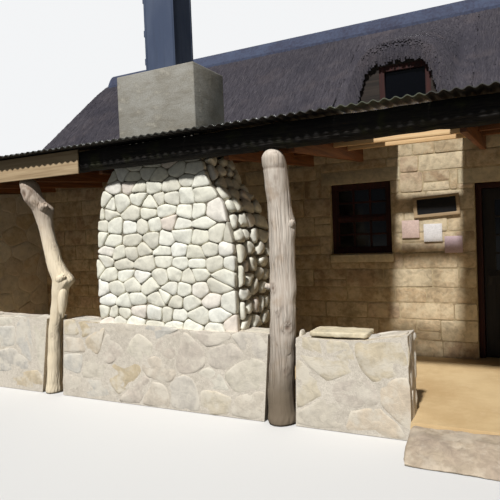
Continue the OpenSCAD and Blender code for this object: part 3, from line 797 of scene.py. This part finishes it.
def buildFireplaceStones():
    s = fireplace
    out = 0.012                     # the stones wrap round the corners
    front = [(-x - out, z) for x, z in s["left"][::-1]] + [(x + out, z) for x, z in s["right"]]
    front = [(x, max(z, 0.70)) for x, z in front]
    parts = [rubble("fireplaceFront", front, facing("-Y", (s["centre"], s["front"] + 0.004, 0)), s, 12)]
    near, far = s["front"] + 0.06, s["back"] + 0.012
    for side, key, turn in (("+X", "right", 1), ("-X", "left", -1)):
        place, rise = leaning([(x + turn*s["centre"], z) for x, z in s[key]], side)
        flat = [(near, 0.72), (far, 0.72), (far, 1.40), (-3.61, 2.21), (-3.67, rise), (near, rise)]
        flat = flat if turn > 0 else mirrored(flat)
        parts.append(rubble("fireplace" + side, flat, place, fireplaceSides, 5 + turn))
    place, rise = leaning([(s["back"], 0.0), (s["back"], 1.40), (-3.61, 2.14), (-3.67, 2.41)], "+Y")
    c = -s["centre"]
    rear = [(c + x, z) for x, z in (
        (-0.756, 0.14), (0.756, 0.14), (0.756, 1.40), (0.64, 2.08), (0.43, rise), (-0.43, rise),
        (-0.55, 2.08), (-0.74, 1.50), (-0.756, 1.40))]
    parts.append(rubble("fireplaceBack", rear, place, dict(s, depth=0.03), 9,
                        lambda cell: abs(cell[0] - c) < 0.41 and 0.68 < cell[1] < 1.49))
    finishPiece(joinAll(parts), "fireplaceStones", "white_stones", smooth=60)


buildFireplaceStones()
print("fireplace stones laid")


parapetStones = {
    "front": -4.25, "back": -3.97, "foot": 0.004, "gatePost": 0.775,
    # where each stretch starts and ends, and how far its foot is splayed there
    "stretches": {
        "FarLeft": (-5.628, -3.280, 0, -0.115), "Left": (-3.045, -0.752, -0.055, -0.066),
        "Middle": (-0.508, 0.370, -0.027, 0), "Right": (2.030, 2.920, 0, 0), "FarRight": (3.200, 5.628, 0, 0)},
    # the verandah's end walls: outline in Y and Z, face, seed
    "outer": ([(-3.99, 0.01), (-2.10, 0.01), (-2.10, 2.335), (-3.99, 2.21)], 5.898, 4),
    "inner": ([(-3.97, 0.15), (-2.115, 0.15), (-2.115, 2.335), (-3.97, 2.212)], 5.62, 6),
    "wide": 0.33, "high": 0.225, "jitter": 0.26, "flat": 0.8,
    "joint": 0.008, "corner": 0.026, "proud": 0.002, "round": 0.038, "crown": 0.004,
    "tilt": 0.025, "lift": 0.003, "lumps": 9.0, "rough": 0.011, "reach": 0.46, "depth": 0.07, "wobble": 0.012,
}


def copingHeight(x):
    dip = np.interp(x, [-3.045, -1.8, -0.6, 0.09, 0.34], [0, 0.028, 0.050, 0.050, 0.002])
    return 0.771 + 0.006*math.sin(math.radians(x*310)) + 0.003*math.sin(math.radians(x*830)) - dip


def onCoping(co):                   # lifts a flat sheet of stones on to the uneven coping
    out = co.copy()
    out[:, 2] += [copingHeight(x) for x in co[:, 0]]
    return out


def buildParapetStones():
    s = parapetStones
    thin = dict(s, depth=0.02)
    small = dict(thin, wide=0.20, high=0.13)
    for name, (x0, x1, foot0, foot1) in s["stretches"].items():
        crest = [(x, copingHeight(x) + 0.008) for x in (x1 - (x1 - x0)*i/8 for i in range(9))]
        face = [(x0 + foot0, s["foot"]), (x1 + foot1, s["foot"])] + crest
        if name == "Middle":        # the gateway's sides
            face = [face[0], (x1 + 0.010, s["foot"]), (x1 + 0.010, s["gatePost"])] + crest[1:]
        if name == "Right":
            face = [(x0 - 0.010, s["foot"]), face[1]] + crest[:-1] + [(x0 - 0.010, s["gatePost"])]
        rear = [(x, max(z, 0.15)) for x, z in mirrored(face)]
        strip = oblong(x0 + 0.01, s["front"] + 0.075, x1 - 0.01, s["back"] - 0.075)
        parts = [
            rubble("front" + name, face, facing("-Y", (0, s["front"] + 0.004, 0)), s, len(name)),
            rubble("rear" + name, rear, facing("+Y", (0, s["back"] - 0.004, 0)), s, len(name) + 1,
                   lambda cell: name == "Left" and 1.0 < cell[0] < 2.65),       # behind the fireplace
            rubble("top" + name, strip, onCoping, small, len(name) + 2)]
        for x, side in ((x0, "-X"), (x1, "+X")):
            if abs(x) < 5.6:
                flat = oblong(s["front"] + 0.08, 0.01, s["back"] - 0.08, 0.765)
                flat = flat if side == "+X" else mirrored(flat)
                parts.append(rubble(name + side, flat, facing(side, (x, 0, 0)), small, 3))
        if name.startswith("Far"):
            turn, sides = (-1, ("-X", "+X")) if name == "FarLeft" else (1, ("+X", "-X"))
            for kind, side in zip(("outer", "inner"), sides):
                flat, x, seed = s[kind]
                flat = flat if side == "+X" else mirrored(flat)
                parts.append(rubble(kind + name, flat, facing(side, (turn*x, 0, 0)), thin, seed))
            end = oblong(turn*5.76 - 0.125, 0.78, turn*5.76 + 0.125, 2.20)
            parts.append(rubble("end" + name, end, facing("-Y", (0, -3.97, 0)), thin, 8))
        finishPiece(joinAll(parts), "parapetStones" + name, "rubble_stones", smooth=50)


buildParapetStones()
print("parapet stones laid")


blockwork = {
    "low": 0.165, "high": 0.235, "short": 0.22, "long": 0.58,
    "joint": 0.013, "corner": 0.014, "proud": 0.005, "round": 0.016, "crown": 0.004,
    "tilt": 0.03, "lift": 0.003, "lumps": 6.0, "rough": 0.005, "depth": 0.006, "wobble": 0.009,
    "windowWide": 0.705, "windowFoot": 1.296, "windowHead": 2.110,
    "frontWindows": (-3.90, -0.537, 2.887), "backWindows": (-3.7, 0, 3.7),
    "door": [(0.69, 0.14, 1.66, 2.016), (0.53, 2.016, 1.82, 2.166)],    # and its lintel
    "returns": [(-wallX, 0.0, -5.61, 2.34), (5.61, 0.0, wallX, 2.34)],      # where the end walls meet it
}


def blockCells(outline, holes, s, seed):        # courses of squared blocks, trimmed round the openings
    rng = random.Random(seed)
    xs, zs = [p[0] for p in outline], [p[1] for p in outline]
    z, cells = min(zs), []
    while z < max(zs) - 0.05:
        rise = min(rng.uniform(s["low"], s["high"]), max(zs) - z)
        x = min(xs) - rng.uniform(0, s["short"])
        while x < max(xs):
            run = rng.uniform(s["short"], s["long"])
            blocks = [(x, z, x + run, z + rise)]
            if rise > 0.2 and rng.random() < 0.16:      # now and then two thin blocks make up the course
                cut = z + rise*rng.uniform(0.4, 0.6)
                blocks = [(x, z, x + run, cut), (x, cut, x + run, z + rise)]
            for a, b, c, d in holes:
                kept = []
                for x0, z0, x1, z1 in blocks:
                    if x1 <= a or x0 >= c or z1 <= b or z0 >= d:
                        kept.append((x0, z0, x1, z1))
                        continue
                    if x0 < a:
                        kept.append((x0, z0, a, z1))
                    if x1 > c:
                        kept.append((c, z0, x1, z1))
                    if z0 < b:
                        kept.append((max(x0, a), z0, min(x1, c), b))
                    if z1 > d:
                        kept.append((max(x0, a), d, min(x1, c), z1))
                blocks = kept
            for x0, z0, x1, z1 in blocks:
                x0, x1 = max(x0, min(xs)), min(x1, max(xs))
                wide, high = x1 - x0 - s["joint"], z1 - z0 - s["joint"]
                middle = ((x0 + x1)/2, (z0 + z1)/2)
                if wide > 0.05 and high > 0.04 and inside(middle, outline):
                    cells.append((*middle, wide, high))
            x += run
        z += rise
    return cells


def windowHoles(xs):                # each window with its lintel and its sill
    foot, head, holes = blockwork["windowFoot"], blockwork["windowHead"], []
    for x in xs:
        half = blockwork["windowWide"]/2
        holes += [(x - half, foot, x + half, head), (x - half - 0.11, head, x + half + 0.11, head + 0.15),
                  (x - half - 0.015, foot - 0.10, x + half + 0.015, foot)]
    return holes


def buildBlockwork():
    s = blockwork
    front, back = oblong(-wallX, 0.14, wallX, 2.56), oblong(-wallX, 0.0, wallX, 2.435)
    gable = [(-wallY, 0.0), (wallY, 0.0), (wallY, 2.43), (0.0, 4.255), (-wallY, 2.43)]
    walls = {
        "facadeBlocks": ("-Y", (0, -wallY, 0), front,
                         windowHoles(s["frontWindows"]) + s["door"] + s["returns"]),
        "backBlocks": ("+Y", (0, wallY, 0), back, windowHoles(s["backWindows"])),
        "leftGableBlocks": ("-X", (-wallX, 0, 0), gable, windowHoles([0])),
        "rightGableBlocks": ("+X", (wallX, 0, 0), gable, windowHoles([0])),
    }
    for seed, (name, (side, at, outline, holes)) in enumerate(walls.items()):
        cells = blockCells(outline, holes, s, seed + 4)
        blocks = layStones(name, cells, outline, facing(side, at), s, crowded=False)
        finishPiece(blocks, name, "sandstone_blocks", smooth=40)
    # pointing between the rafters' ends
    head = boxesPiece([((-5.60, -wallY - 0.005, 2.415), (5.60, -wallY + 0.005, 2.556))], 0.002)
    finishPiece(head, "wallHead", "dressed_sandstone")


buildBlockwork()
print("wall blocks laid")


# reed tufts over the thatch, laid on the CAD slopes from the eaves up
thatching = {
    "across": 0.028, "upSlope": 0.053, "wide": 0.014, "long": 0.11, "thick": 0.006,
    "lift": 2.6,                    # degrees that a tuft's lower end stands off the slope
    "swing": 5.0,                   # degrees that it may turn to either side
    "end": 6.045, "ridge": 0.17, "frontEave": 2.095, "backEave": 2.43,
    "eyebrow": -0.13,               # x of the eyebrow's middle
    "lipX": (-1.25, 1.0), "lipZ": (2.90, 4.20),
    "lipY": -1.48,                  # in front of this the lip is combed from the front
    # least and most of a tuft's lift, width, length and thickness
    "slope": ((0.4, 1.6), (0.7, 1.3), (0.75, 1.2), (0.7, 1.4)),
    "lip": ((0.4, 1.2), (0.7, 1.1), (0.32, 0.50), (0.5, 0.9)),
}


def makeTuft():
    s = thatching
    tuft = rod(3, 1, 2, turn=(90, 0, 0))
    editOn(tuft)
    pickFaces(tuft, lambda centre, normal: normal.y > 0.9)
    bpy.ops.transform.resize(value=(0.55, 1, 0.4), center_override=(0, 1, 0))
    pickFaces(tuft, lambda centre, normal: normal.y < -0.9)
    bpy.ops.mesh.poke(offset=-0.06)
    bpy.ops.transform.resize(value=(1.15, 1, 1.2), center_override=(0, -1, 0))
    editOff()
    setPoints(tuft, points(tuft)*(s["wide"], s["long"], s["thick"]))
    return tuft


def surfaceOf(objects):
    corners, faces = [], []
    for obj in objects:
        start = len(corners)
        corners += [v.co.copy() for v in obj.data.vertices]
        faces += [[start + i for i in face.vertices] for face in obj.data.polygons]
    return BVHTree.FromPolygons(corners, faces)


def softenEyebrow():                # the lip is rounded over towards its opening
    brow = mergedCopy("thatch_eyebrow")
    modified(brow, "REMESH", mode="VOXEL", voxel_size=0.03)
    co = points(brow)
    aside = abs(co[:, 0] - thatching["eyebrow"])
    near = np.clip((-1.45 - co[:, 1])/0.25, 0, 1)*np.clip((1.15 - aside)/0.25, 0, 1)
    group = brow.vertex_groups.new(name="lip")
    for i in np.flatnonzero(near > 0):
        group.add([int(i)], near[i], "REPLACE")
    modified(brow, "SMOOTH", factor=0.5, iterations=22, vertex_group="lip")
    setPoints(brow, np.clip(points(brow), *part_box("thatch_eyebrow")))
    finishPiece(brow, "eyebrow", "weathered_thatch", smooth=60)
    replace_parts(brow, "thatch_eyebrow")
    return brow


def tuftFrame(rng, place, normal, down, kind, short=1.0):      # how a tuft lies on the slope
    down = (down - normal*down.dot(normal)).normalized()
    turn = Matrix((-down.cross(normal), -down, normal)).transposed().to_4x4()
    swing = turned(rng.gauss(0, thatching["swing"]), "Z")
    lift, wide, long, thick = (rng.uniform(*ends) for ends in thatching[kind])
    size = Matrix.Diagonal((wide, long*short, thick*short**0.5, 1))
    return Matrix.Translation(place) @ turn @ swing @ turned(lift*thatching["lift"], "X") @ size


def finishThatch(tuft, name, frames, tones):
    obj = copied(tuft, name, frames, tones)
    setPoints(obj, np.clip(points(obj), *cadBox))
    finishPiece(obj, name, "weathered_thatch", smooth=60)


def layThatch(name, surface, side, eave, tuft, seed, softFrom=1e9):     # faces from softFrom on get short tufts
    s = thatching
    rng = random.Random(seed)
    frames, tones = [], []
    y = eave
    while y > s["ridge"]:
        x = -s["end"] + rng.uniform(0, s["across"])
        while x < s["end"]:
            px = x + rng.uniform(-0.5, 0.5)*s["across"]
            py = side*(y + rng.uniform(-0.6, 0.6)*s["upSlope"])
            place, normal, index, _ = surface.ray_cast(Vector((px, py, 7)), Vector((0, 0, -1)))
            x += s["across"]*rng.uniform(0.8, 1.2)
            if place is None or normal.z < 0.1 or side*normal.y > 0.80:
                continue
            if index >= softFrom and place.y < s["lipY"]:
                continue
            down = Vector((0, side, -0.87))
            short = 0.5 if index >= softFrom else 1.0
            frames.append(tuftFrame(rng, place + normal*0.002, normal, down, "slope", short))
            tones.append(rng.random())
        y -= s["upSlope"]
    finishThatch(tuft, name, frames, tones)


def layEyebrowLip(name, surface, tuft):     # reeds combed over the lip towards the opening
    s = thatching
    rng = random.Random(40)
    frames, tones = [], []
    z = s["lipZ"][0]
    while z < s["lipZ"][1]:
        x = s["lipX"][0]
        while x < s["lipX"][1]:
            start = Vector((x + rng.uniform(-0.02, 0.02), -3, z + 1.47 + rng.uniform(-0.02, 0.02)))
            place, normal = surface.ray_cast(start, Vector((0, 0.6, -0.8)))[:2]
            x += s["across"]*0.75
            if place is None or normal.y > -0.15 or place.y > -1.40:
                continue
            down = Vector((-0.3*(place.x - s["eyebrow"]), 0, -1))
            frames.append(tuftFrame(rng, place + normal*0.003, normal, down, "lip"))
            tones.append(rng.random())
        z += s["upSlope"]*0.5
    finishThatch(tuft, name, frames, tones)


def buildThatch():
    tuft = makeTuft()
    brow = softenEyebrow()
    slopes = [nodes["thatch_front_left"], nodes["thatch_front_right"], nodes["thatch_apron"]]
    front, back = surfaceOf(slopes + [nodes["thatch_eyebrow"]]), surfaceOf([nodes["thatch_back"]])
    layThatch("thatchTuftsFront", front, -1, thatching["frontEave"], tuft, 31,
              sum(len(slope.data.polygons) for slope in slopes))
    layThatch("thatchTuftsBack", back, 1, thatching["backEave"], tuft, 32)
    layEyebrowLip("eyebrowLip", surfaceOf([brow]), tuft)
    drop(tuft)


buildThatch()
print("thatch laid")


# the step and the loose coping slab, rounded and roughened from their CAD blocks
roughStones = {                     # piece, finish, voxel, depth and scale of the lumps
    "entrance_step": ("entranceStep", "rough_step_stone", 0.020, 0.016, 6.5),
    "coping_slab": ("copingSlab", "pale_stone", 0.011, 0.006, 14.0),
}


def buildRoughStones():
    for node, (name, finish, voxel, depth, scale) in roughStones.items():
        obj = mergedCopy(node)
        modified(obj, "REMESH", mode="VOXEL", voxel_size=voxel)
        modified(obj, "SMOOTH", factor=0.5, iterations=3)
        co = points(obj)
        normals = np.array([v.normal for v in obj.data.vertices])
        amount = np.array([noise.noise(Vector(p)*scale) + 0.4*noise.noise(Vector(p)*scale*3.1)
                           + 0.15*noise.noise(Vector(p)*scale*8) for p in co])
        co += normals*((amount*0.7 - 0.35)*depth)[:, None]
        setPoints(obj, np.clip(co, *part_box(node)))
        setTone(obj, np.clip(amount*0.5 + 0.5, 0, 1))
        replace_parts(finishPiece(obj, name, finish, smooth=60), node)


buildRoughStones()
print("step and slab roughened")


# logs, worked up from the CAD logs
logWork = {
    "furrow": 0.0018, "beamFurrow": 0.005, "furrowScale": 19, "lump": 0.006, "lumpScale": 8.0,
    "sawCut": 2.080,                # height of the old saw cut round the straight post
    # a knot's x and z on the front of the log, its radius and how much it stands out
    "crookedKnots": ((-3.335, 2.06, 0.042, 1.0), (-3.09, 1.52, 0.018, 0.6), (-3.19, 1.40, 0.020, 0.5),
                     (-3.20, 0.60, 0.018, 0.6)),
    "straightKnots": ((-0.668, 1.12, 0.022, 1.0), (-0.655, 1.83, 0.014, 0.7), (-0.64, 0.92, 0.018, 0.6),
                      (-0.60, 0.44, 0.020, 0.5), (-0.565, 0.80, 0.026, 1.0), (-0.575, 2.0, 0.012, 0.7)),
    # broken branches: foot, tip, radius at the foot and at the tip
    "crookedStubs": (((-3.22, -4.29, 1.90), (-3.135, -4.33, 1.945), 0.040, 0.026),
                     ((-3.05, -4.27, 1.185), (-2.955, -4.30, 1.225), 0.048, 0.016),
                     ((-3.02, -4.25, 1.12), (-3.055, -4.26, 0.80), 0.026, 0.020)),
    "straightStubs": (((-0.70, -4.27, 1.125), (-0.742, -4.29, 1.14), 0.026, 0.020),
                      ((-0.52, -4.27, 1.61), (-0.482, -4.28, 1.66), 0.030, 0.014)),
}


def addStub(obj, foot, tip, wide, narrow):
    foot, tip = Vector(foot), Vector(tip)
    turn = (tip - foot).to_track_quat("Z", "Y")
    bpy.ops.object.select_all(action="DESELECT")
    bpy.ops.mesh.primitive_cone_add(vertices=10, radius1=wide, radius2=narrow, depth=(tip - foot).length,
                                    location=(foot + tip)/2, rotation=turn.to_euler())
    stub = settle(bpy.context.object)
    editOn(stub)
    pickFaces(stub, lambda centre, normal: (centre - tip).length < 0.004)
    bpy.ops.mesh.inset(thickness=narrow*0.3, depth=narrow*0.15)
    bpy.ops.mesh.inset(thickness=narrow*0.3, depth=-narrow*0.2)
    editOff()
    return joinAll([obj, stub])


def weatheredLog(node, name, finish, cuts, furrow, lump, saw=None, knots=(), stubs=()):
    s = logWork
    standing = finish != "dark_log"
    obj = mergedCopy(node)
    for stub in stubs:
        obj = addStub(obj, *stub)
    editOn(obj)
    pickAll()
    bpy.ops.mesh.subdivide(number_cuts=cuts, smoothness=0.5)
    editOff()
    co = points(obj)
    normals = np.array([v.normal for v in obj.data.vertices])
    stretch = np.array((1, 1, 0.10) if standing else (0.10, 1, 1))*s["furrowScale"]
    amount, tone = np.empty(len(co)), np.zeros(len(co))
    for i, p in enumerate(co):
        grain = noise.noise(Vector(p*stretch))
        fine = noise.noise(Vector(p*stretch*2.4) + Vector((7, 3, 1)))
        amount[i] = (-furrow*math.exp(-(grain/0.12)**2) - furrow*0.6*math.exp(-(fine/0.14)**2)
                     + lump*noise.noise(Vector(p)*s["lumpScale"]))
        if saw and abs(p[2] - saw + 0.06*(p[0] + 0.62)) < 0.010 and normals[i][1] < -0.1:
            amount[i] -= 0.005
            tone[i] = 0.5
        for x, z, size, weight in knots:
            d = math.hypot(p[0] - x, (p[2] - z)*0.8)/size
            if d < 2.2 and normals[i][1] < -0.1:
                amount[i] += weight*size*(0.22*math.exp(-((d - 1.1)/0.35)**2) - 0.25*math.exp(-(d/0.6)**2))
                tone[i] = max(tone[i], weight*(math.exp(-(d/0.75)**2) + 0.5*math.exp(-((d - 1.5)/0.25)**2)))
    if standing:
        amount *= np.clip(co[:, 2]/0.03, 0, 1)
    co += normals*amount[:, None]
    if not standing:
        low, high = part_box(node)
        co[:, 0] = np.clip(co[:, 0], low[0], high[0])
    setPoints(obj, co)
    setTone(obj, np.clip(tone, 0, 1))
    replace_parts(finishPiece(obj, name, finish, smooth=70), node)


def buildLogs():
    s = logWork
    weatheredLog("log_post_left", "crookedPost", "silver_driftwood", 4, s["furrow"], s["lump"],
                 knots=s["crookedKnots"], stubs=s["crookedStubs"])
    weatheredLog("log_post_middle", "straightPost", "silver_driftwood", 4, s["furrow"], s["lump"], s["sawCut"],
                 s["straightKnots"], s["straightStubs"])
    weatheredLog("outer_posts", "endPosts", "silver_driftwood", 3, s["furrow"], s["lump"])
    weatheredLog("log_beam", "frontBeam", "dark_log", 2, s["beamFurrow"], s["lump"])


buildLogs()
print("logs weathered")


joinery = {
    "bar": 0.022, "barDepth": 0.034, "bead": 0.016,
    "windowWide": 0.585, "foot": 1.356, "lowTop": 1.678, "highFoot": 1.728, "head": 2.050,
    "glassBack": 0.095,
    "rafters": (-5.775, -5.35, -4.40, -3.45, -2.50, -1.10, -0.50, 0.79, 1.56, 2.40, 3.30, 4.25, 5.20, 5.775),
    "noggings": ((-3.19, 2.370), (-2.72, 2.400)),   # y and lower side of the bars nailed between the rafters
    "drip": 0.045,                  # how far the sheets' lower edges hang on past the CAD's
    "doorGlass": (0.858, 1.492, 1.068, 1.845),      # x and z of its ends
    "doorPanel": (0.858, 1.492, 0.328, 0.938), "board": (0.905, 1.445, 0.372, 0.894),
    "beadY": (-1.9735, -1.9315), "barY": (-1.972, -1.933),
    # CAD nodes with eased edges: node, piece, finish, width
    "eased": (("window_frames", "windowFrames", "red_brown_joinery", 0.006),
              ("door_frame", "doorFrame", "red_brown_joinery", 0.007),
              ("stone_lintels", "lintels", "pale_stone", 0.010), ("stone_sills", "sills", "pale_stone", 0.010),
              ("verandah_purlins", "purlins", "orange_pine", 0.003),
              ("chimney_stack", "chimneyBox", "plastered_block", 0.012)),
}


def windowBars():
    s = joinery
    half, bar, bead, depth = s["windowWide"]/2, s["bar"]/2, s["bead"], s["barDepth"]/2
    y0, y1 = s["glassBack"] - depth, s["glassBack"] + depth
    boxes = []
    for low, high in ((s["foot"], s["lowTop"]), (s["highFoot"], s["head"])):
        middle, end = (low + high)/2, half + 0.004
        for thin, x0, x1, z0, z1 in (
                (0, -half/3 - bar, -half/3 + bar, low - 0.004, high + 0.004),
                (0, half/3 - bar, half/3 + bar, low - 0.004, high + 0.004),
                (0.001, -end, end, middle - bar, middle + bar),
                (0.003, -end, end, low - 0.004, low + bead), (0.003, -end, end, high - bead, high + 0.004),
                (0.002, -end, -half + bead, low, high), (0.002, half - bead, end, low, high)):
            boxes.append(((x0, y0 + thin, z0), (x1, y1 - thin, z1)))
    return boxesPiece(boxes, 0.004)


def buildDoorBars():
    s = joinery
    x0, x1, z0, z1 = s["doorGlass"]
    y0, y1 = s["barY"]
    half, boxes = s["bar"]/2, []
    for k in (1, 2):
        x = x0 + 0.003 + (x1 - x0 - 0.006)/3*k
        boxes.append(((x - half, y0, z0 - 0.003), (x + half, y1, z1 + 0.003)))
    for k in (1, 2, 3):
        z = z0 + (z1 - z0)/4*k
        boxes.append(((x0, y0 + 0.001, z - half), (x1, y1 - 0.001, z + half)))
    a, b, c, d = s["board"]
    panel = boxesPiece([((a, y0 + 0.0005, c), (b, y1 - 0.0005, d))], 0.011, 1)
    y0, y1 = s["beadY"]
    for x0, x1, z0, z1 in (s["doorGlass"], s["doorPanel"]):     # the beads round both
        for a, b, c, d in ((x0, x1, z0 - 0.003, z0 + 0.014), (x0, x1, z1 - 0.014, z1 + 0.003),
                           (x0, x0 + 0.017, z0, z1), (x1 - 0.017, x1, z0, z1)):
            boxes.append(((a, y0, c), (b, y1, d)))
    joined = joinAll([boxesPiece(boxes, 0.0035), panel])
    finishPiece(joined, "doorBarsAndPanel", "dark_door_paint", body="door")


def buildJoinery():
    s = joinery
    bars = windowBars()
    frames = [Matrix.Translation((x, -wallY, 0)) for x in blockwork["frontWindows"]]
    frames += [Matrix.Translation((x, wallY, 0)) @ turned(180, "Z") for x in blockwork["backWindows"]]
    frames += [Matrix.Translation((side*wallX, 0, 0)) @ turned(side*90, "Z") for side in (-1, 1)]
    finishPiece(copied(bars, "glazingBars", frames), "glazingBars", "red_brown_joinery")
    drop(bars)
    for row in s["eased"]:
        easedNode(*row)
    easedNode("door_leaf", "doorLeaf", "dark_door_paint", 0.004, body="door")
    buildDoorBars()
    easedNode("fascia_board", "fasciaBoard", "tan_board", 0.004, far=(-4.44, 0.012))
    easedNode("verandah_rafters", "rafters", "orange_pine_deep", 0.004, "orange_pine")
    for node in ("roof_sheets_left", "roof_sheets_middle", "clear_sheet", "roof_sheets_right"):
        finish = "translucent_sheet" if node == "clear_sheet" else "galvanised_sheet"
        sheet = easedNode(node, camel(node), finish, 0, smooth=40, far=(-4.49, -s["drip"]))
        # marks each sheet's underside for the painted shade of the galvanised finish
        setTone(sheet, [vertex.normal.z < 0 for vertex in sheet.data.vertices])

    bays = {"orange_pine": [], "pale_pine": []}     # the bars under the clear sheet are painted paler, a painted highlight of the sun through it
    for a, b in zip(s["rafters"], s["rafters"][1:]):
        for y, z in s["noggings"]:
            bays["pale_pine" if a < 0 < b else "orange_pine"].append(
                ((a + 0.027, y - 0.020, z), (b - 0.027, y + 0.020, z + 0.052)))
    for name, (finish, boxes) in zip(("noggings", "noggingsPaintedLit"), bays.items()):
        finishPiece(boxesPiece(boxes, 0.003), name, finish)


buildJoinery()
print("joinery ready")


# door handle and hinges
ironwork = {
    "handleX": 0.812, "handleZ": 1.02,
    "plates": ((-1.980, -1), (-1.925, 1)),          # outer faces of the handle's two plates
    "hingeX": 1.594, "hingeY": -1.93, "hinges": (0.42, 1.05, 1.70), "knuckle": 0.0055,
}


def buildIronwork():
    s = ironwork
    x, z = s["handleX"], s["handleZ"]
    plates = [sorted((y, y - out*0.006)) for y, out in s["plates"]]
    parts = [boxesPiece([((x - 0.019, y0, z - 0.095), (x + 0.019, y1, z + 0.055)) for y0, y1 in plates], 0.002)]
    for y, out in s["plates"]:
        parts.append(rod(16, 0.010, 0.036, (x, y + out*0.017, z), (90, 0, 0)))
        lever = rod(16, 0.009, 0.115, (x + 0.046, y + out*0.040, z), (0, 90, 0))
        editOn(lever)
        for end, size in ((-1, 0.9), (1, 0.7)):
            pickFaces(lever, lambda centre, normal: normal.x*end > 0.9)
            bpy.ops.mesh.inset(thickness=0.003, depth=0.003)
            tip = (x + 0.046 + end*0.0575, y + out*0.040, z)
            bpy.ops.transform.resize(value=(1, size, size), center_override=tip)
        editOff()
        parts.append(lever)
    for hinge in s["hinges"]:
        for k in (-1, 0, 1):
            parts.append(rod(14, s["knuckle"], 0.031, (s["hingeX"], s["hingeY"], hinge + k*0.033)))
            ease(parts[-1], 0.0012)
    finishPiece(joinAll(parts), "doorIronwork", "dark_iron", body="door")


buildIronwork()
print("ironwork ready")


# framed sign board and three small plaques on the facade, all blank
signs = {
    "board": (0.065, 0.544, 1.68, 1.907), "rail": 0.034, "tilt": -3.0,
    "plaques": (((-0.065, 0.121, 1.455, 1.65), "plaque_pink"), ((0.167, 0.359, 1.408, 1.602), "plaque_white"),
                ((0.381, 0.561, 1.283, 1.462), "plaque_mauve")),
    "face": -2.116,
}


def buildSigns():
    s = signs
    x0, x1, z0, z1 = s["board"]
    rail, face = s["rail"], s["face"]
    middle = Vector(((x0 + x1)/2, face, (z0 + z1)/2))
    turn = Matrix.Translation(middle) @ turned(s["tilt"], "Y") @ Matrix.Translation(-middle)
    border = boxesPiece([
        ((x0, face - 0.026, z0), (x1, face, z0 + rail)), ((x0, face - 0.026, z1 - rail*0.8), (x1, face, z1)),
        ((x0, face - 0.025, z0 + 0.001), (x0 + rail*1.2, face, z1 - 0.001)),
        ((x1 - rail, face - 0.025, z0 + 0.001), (x1, face, z1 - 0.001))], 0.004)
    plate = boxesPiece([((x0 + rail + 0.010, face - 0.019, z0 + rail + 0.002),
                         (x1 - rail - 0.004, face - 0.006, z1 - rail*0.8 - 0.004))], 0.003)
    border.matrix_world = plate.matrix_world = turn
    finishPiece(border, "signFrame", "tan_board")
    finishPiece(plate, "signPlate", "sign_black")
    for k, ((a, b, c, d), finish) in enumerate(s["plaques"]):
        plaque = boxesPiece([
            ((a, face - 0.012, c), (b, face, d)),
            ((a + 0.008, face - 0.014, c + 0.008), (b - 0.008, face - 0.004, d - 0.008))], 0.0025)
        finishPiece(plaque, "plaque%d" % (k + 1), finish)


buildSigns()
print("signs hung")


# the flue's corner seams, lugs and rim
flue = {"x": -1.793, "y": -3.98, "wide": 0.324, "deep": 0.300, "foot": 3.10, "top": 4.85,
        "lugs": (3.21, 3.47, 3.78, 4.10, 4.42), "seam": 0.018}


def buildFlue():
    s = flue
    x0, x1 = s["x"] - s["wide"]/2, s["x"] + s["wide"]/2
    y0, y1 = s["y"] - s["deep"]/2, s["y"] + s["deep"]/2
    seam, top, boxes = s["seam"], s["top"], []
    for x, turn in ((x0, 1), (x1, -1)):
        for y, way in ((y0, 1), (y1, -1)):
            for gap, wide, deep in ((0.003, seam, 0.004), (0.0031, 0.004, seam)):
                a, b = sorted((x - turn*gap, x + turn*wide))
                c, d = sorted((y - way*gap, y + way*deep))
                boxes.append(((a, c, s["foot"]), (b, d, top - 0.001)))
    for z in s["lugs"]:                 # flat lugs with their bolts stand off the left side
        boxes.append(((x0 - 0.016, y0 + 0.002, z - 0.030), (x0 + 0.002, y0 + 0.042, z + 0.030)))
        boxes.append(((x0 - 0.024, y0 + 0.014, z - 0.010), (x0 - 0.012, y0 + 0.032, z + 0.010)))
    finishPiece(boxesPiece(boxes, 0.0015), "flueSeams", "blue_grey_steel")
    rim = [((a, c, top - 0.046), (b, d, top - 0.004)) for a, b, c, d in (
        (x0 - 0.006, x1 + 0.006, y0 - 0.006, y0 + 0.001), (x0 - 0.006, x1 + 0.006, y1 - 0.001, y1 + 0.006))]
    rim += [((a, y0 - 0.005, top - 0.0459), (b, y1 + 0.005, top - 0.0041)) for a, b in (
        (x0 - 0.006, x0 + 0.001), (x1 - 0.001, x1 + 0.006))]
    finishPiece(boxesPiece(rim, 0.002), "flueRim", "blue_grey_steel")


buildFlue()
print("flue dressed")


# screws and washers on the sheets' crests, over each purlin
screws = {
    "pitch": 0.0762, "every": 3, "rows": (-4.0, -3.19, -2.72), "end": 5.87,
    "front": -4.50, "frontZ": 2.4468, "slope": 3.8,
    "chimney": (-2.27, -1.39, -4.21, -3.65),        # where the sheets are cut away
}


def buildScrews():
    s = screws
    model = rod(10, 0.012, 0.003, (0, 0, 0.0015))
    editOn(model)
    pickFaces(model, lambda centre, normal: normal.z > 0.9)
    bpy.ops.mesh.inset(thickness=0.0055, depth=0.0008)
    bpy.ops.mesh.extrude_region_move(TRANSFORM_OT_translate={"value": (0, 0, 0.005)})
    bpy.ops.mesh.inset(thickness=0.001, depth=0.001)
    editOff()
    rise = math.tan(math.radians(s["slope"]))
    x0, x1, y0, y1 = s["chimney"]
    frames = []
    for k in range(-77, 78, s["every"]):
        x = s["pitch"]*(k + 0.25)
        for y in s["rows"]:
            if abs(x) < s["end"] and not (x0 < x < x1 and y0 < y < y1):
                place = (x, y, s["frontZ"] + rise*(y - s["front"]))
                frames.append(Matrix.Translation(place) @ turned(s["slope"], "X"))
    finishPiece(copied(model, "roofScrews", frames), "roofScrews", "galvanised_sheet")
    drop(model)


buildScrews()
print("roof screws set")
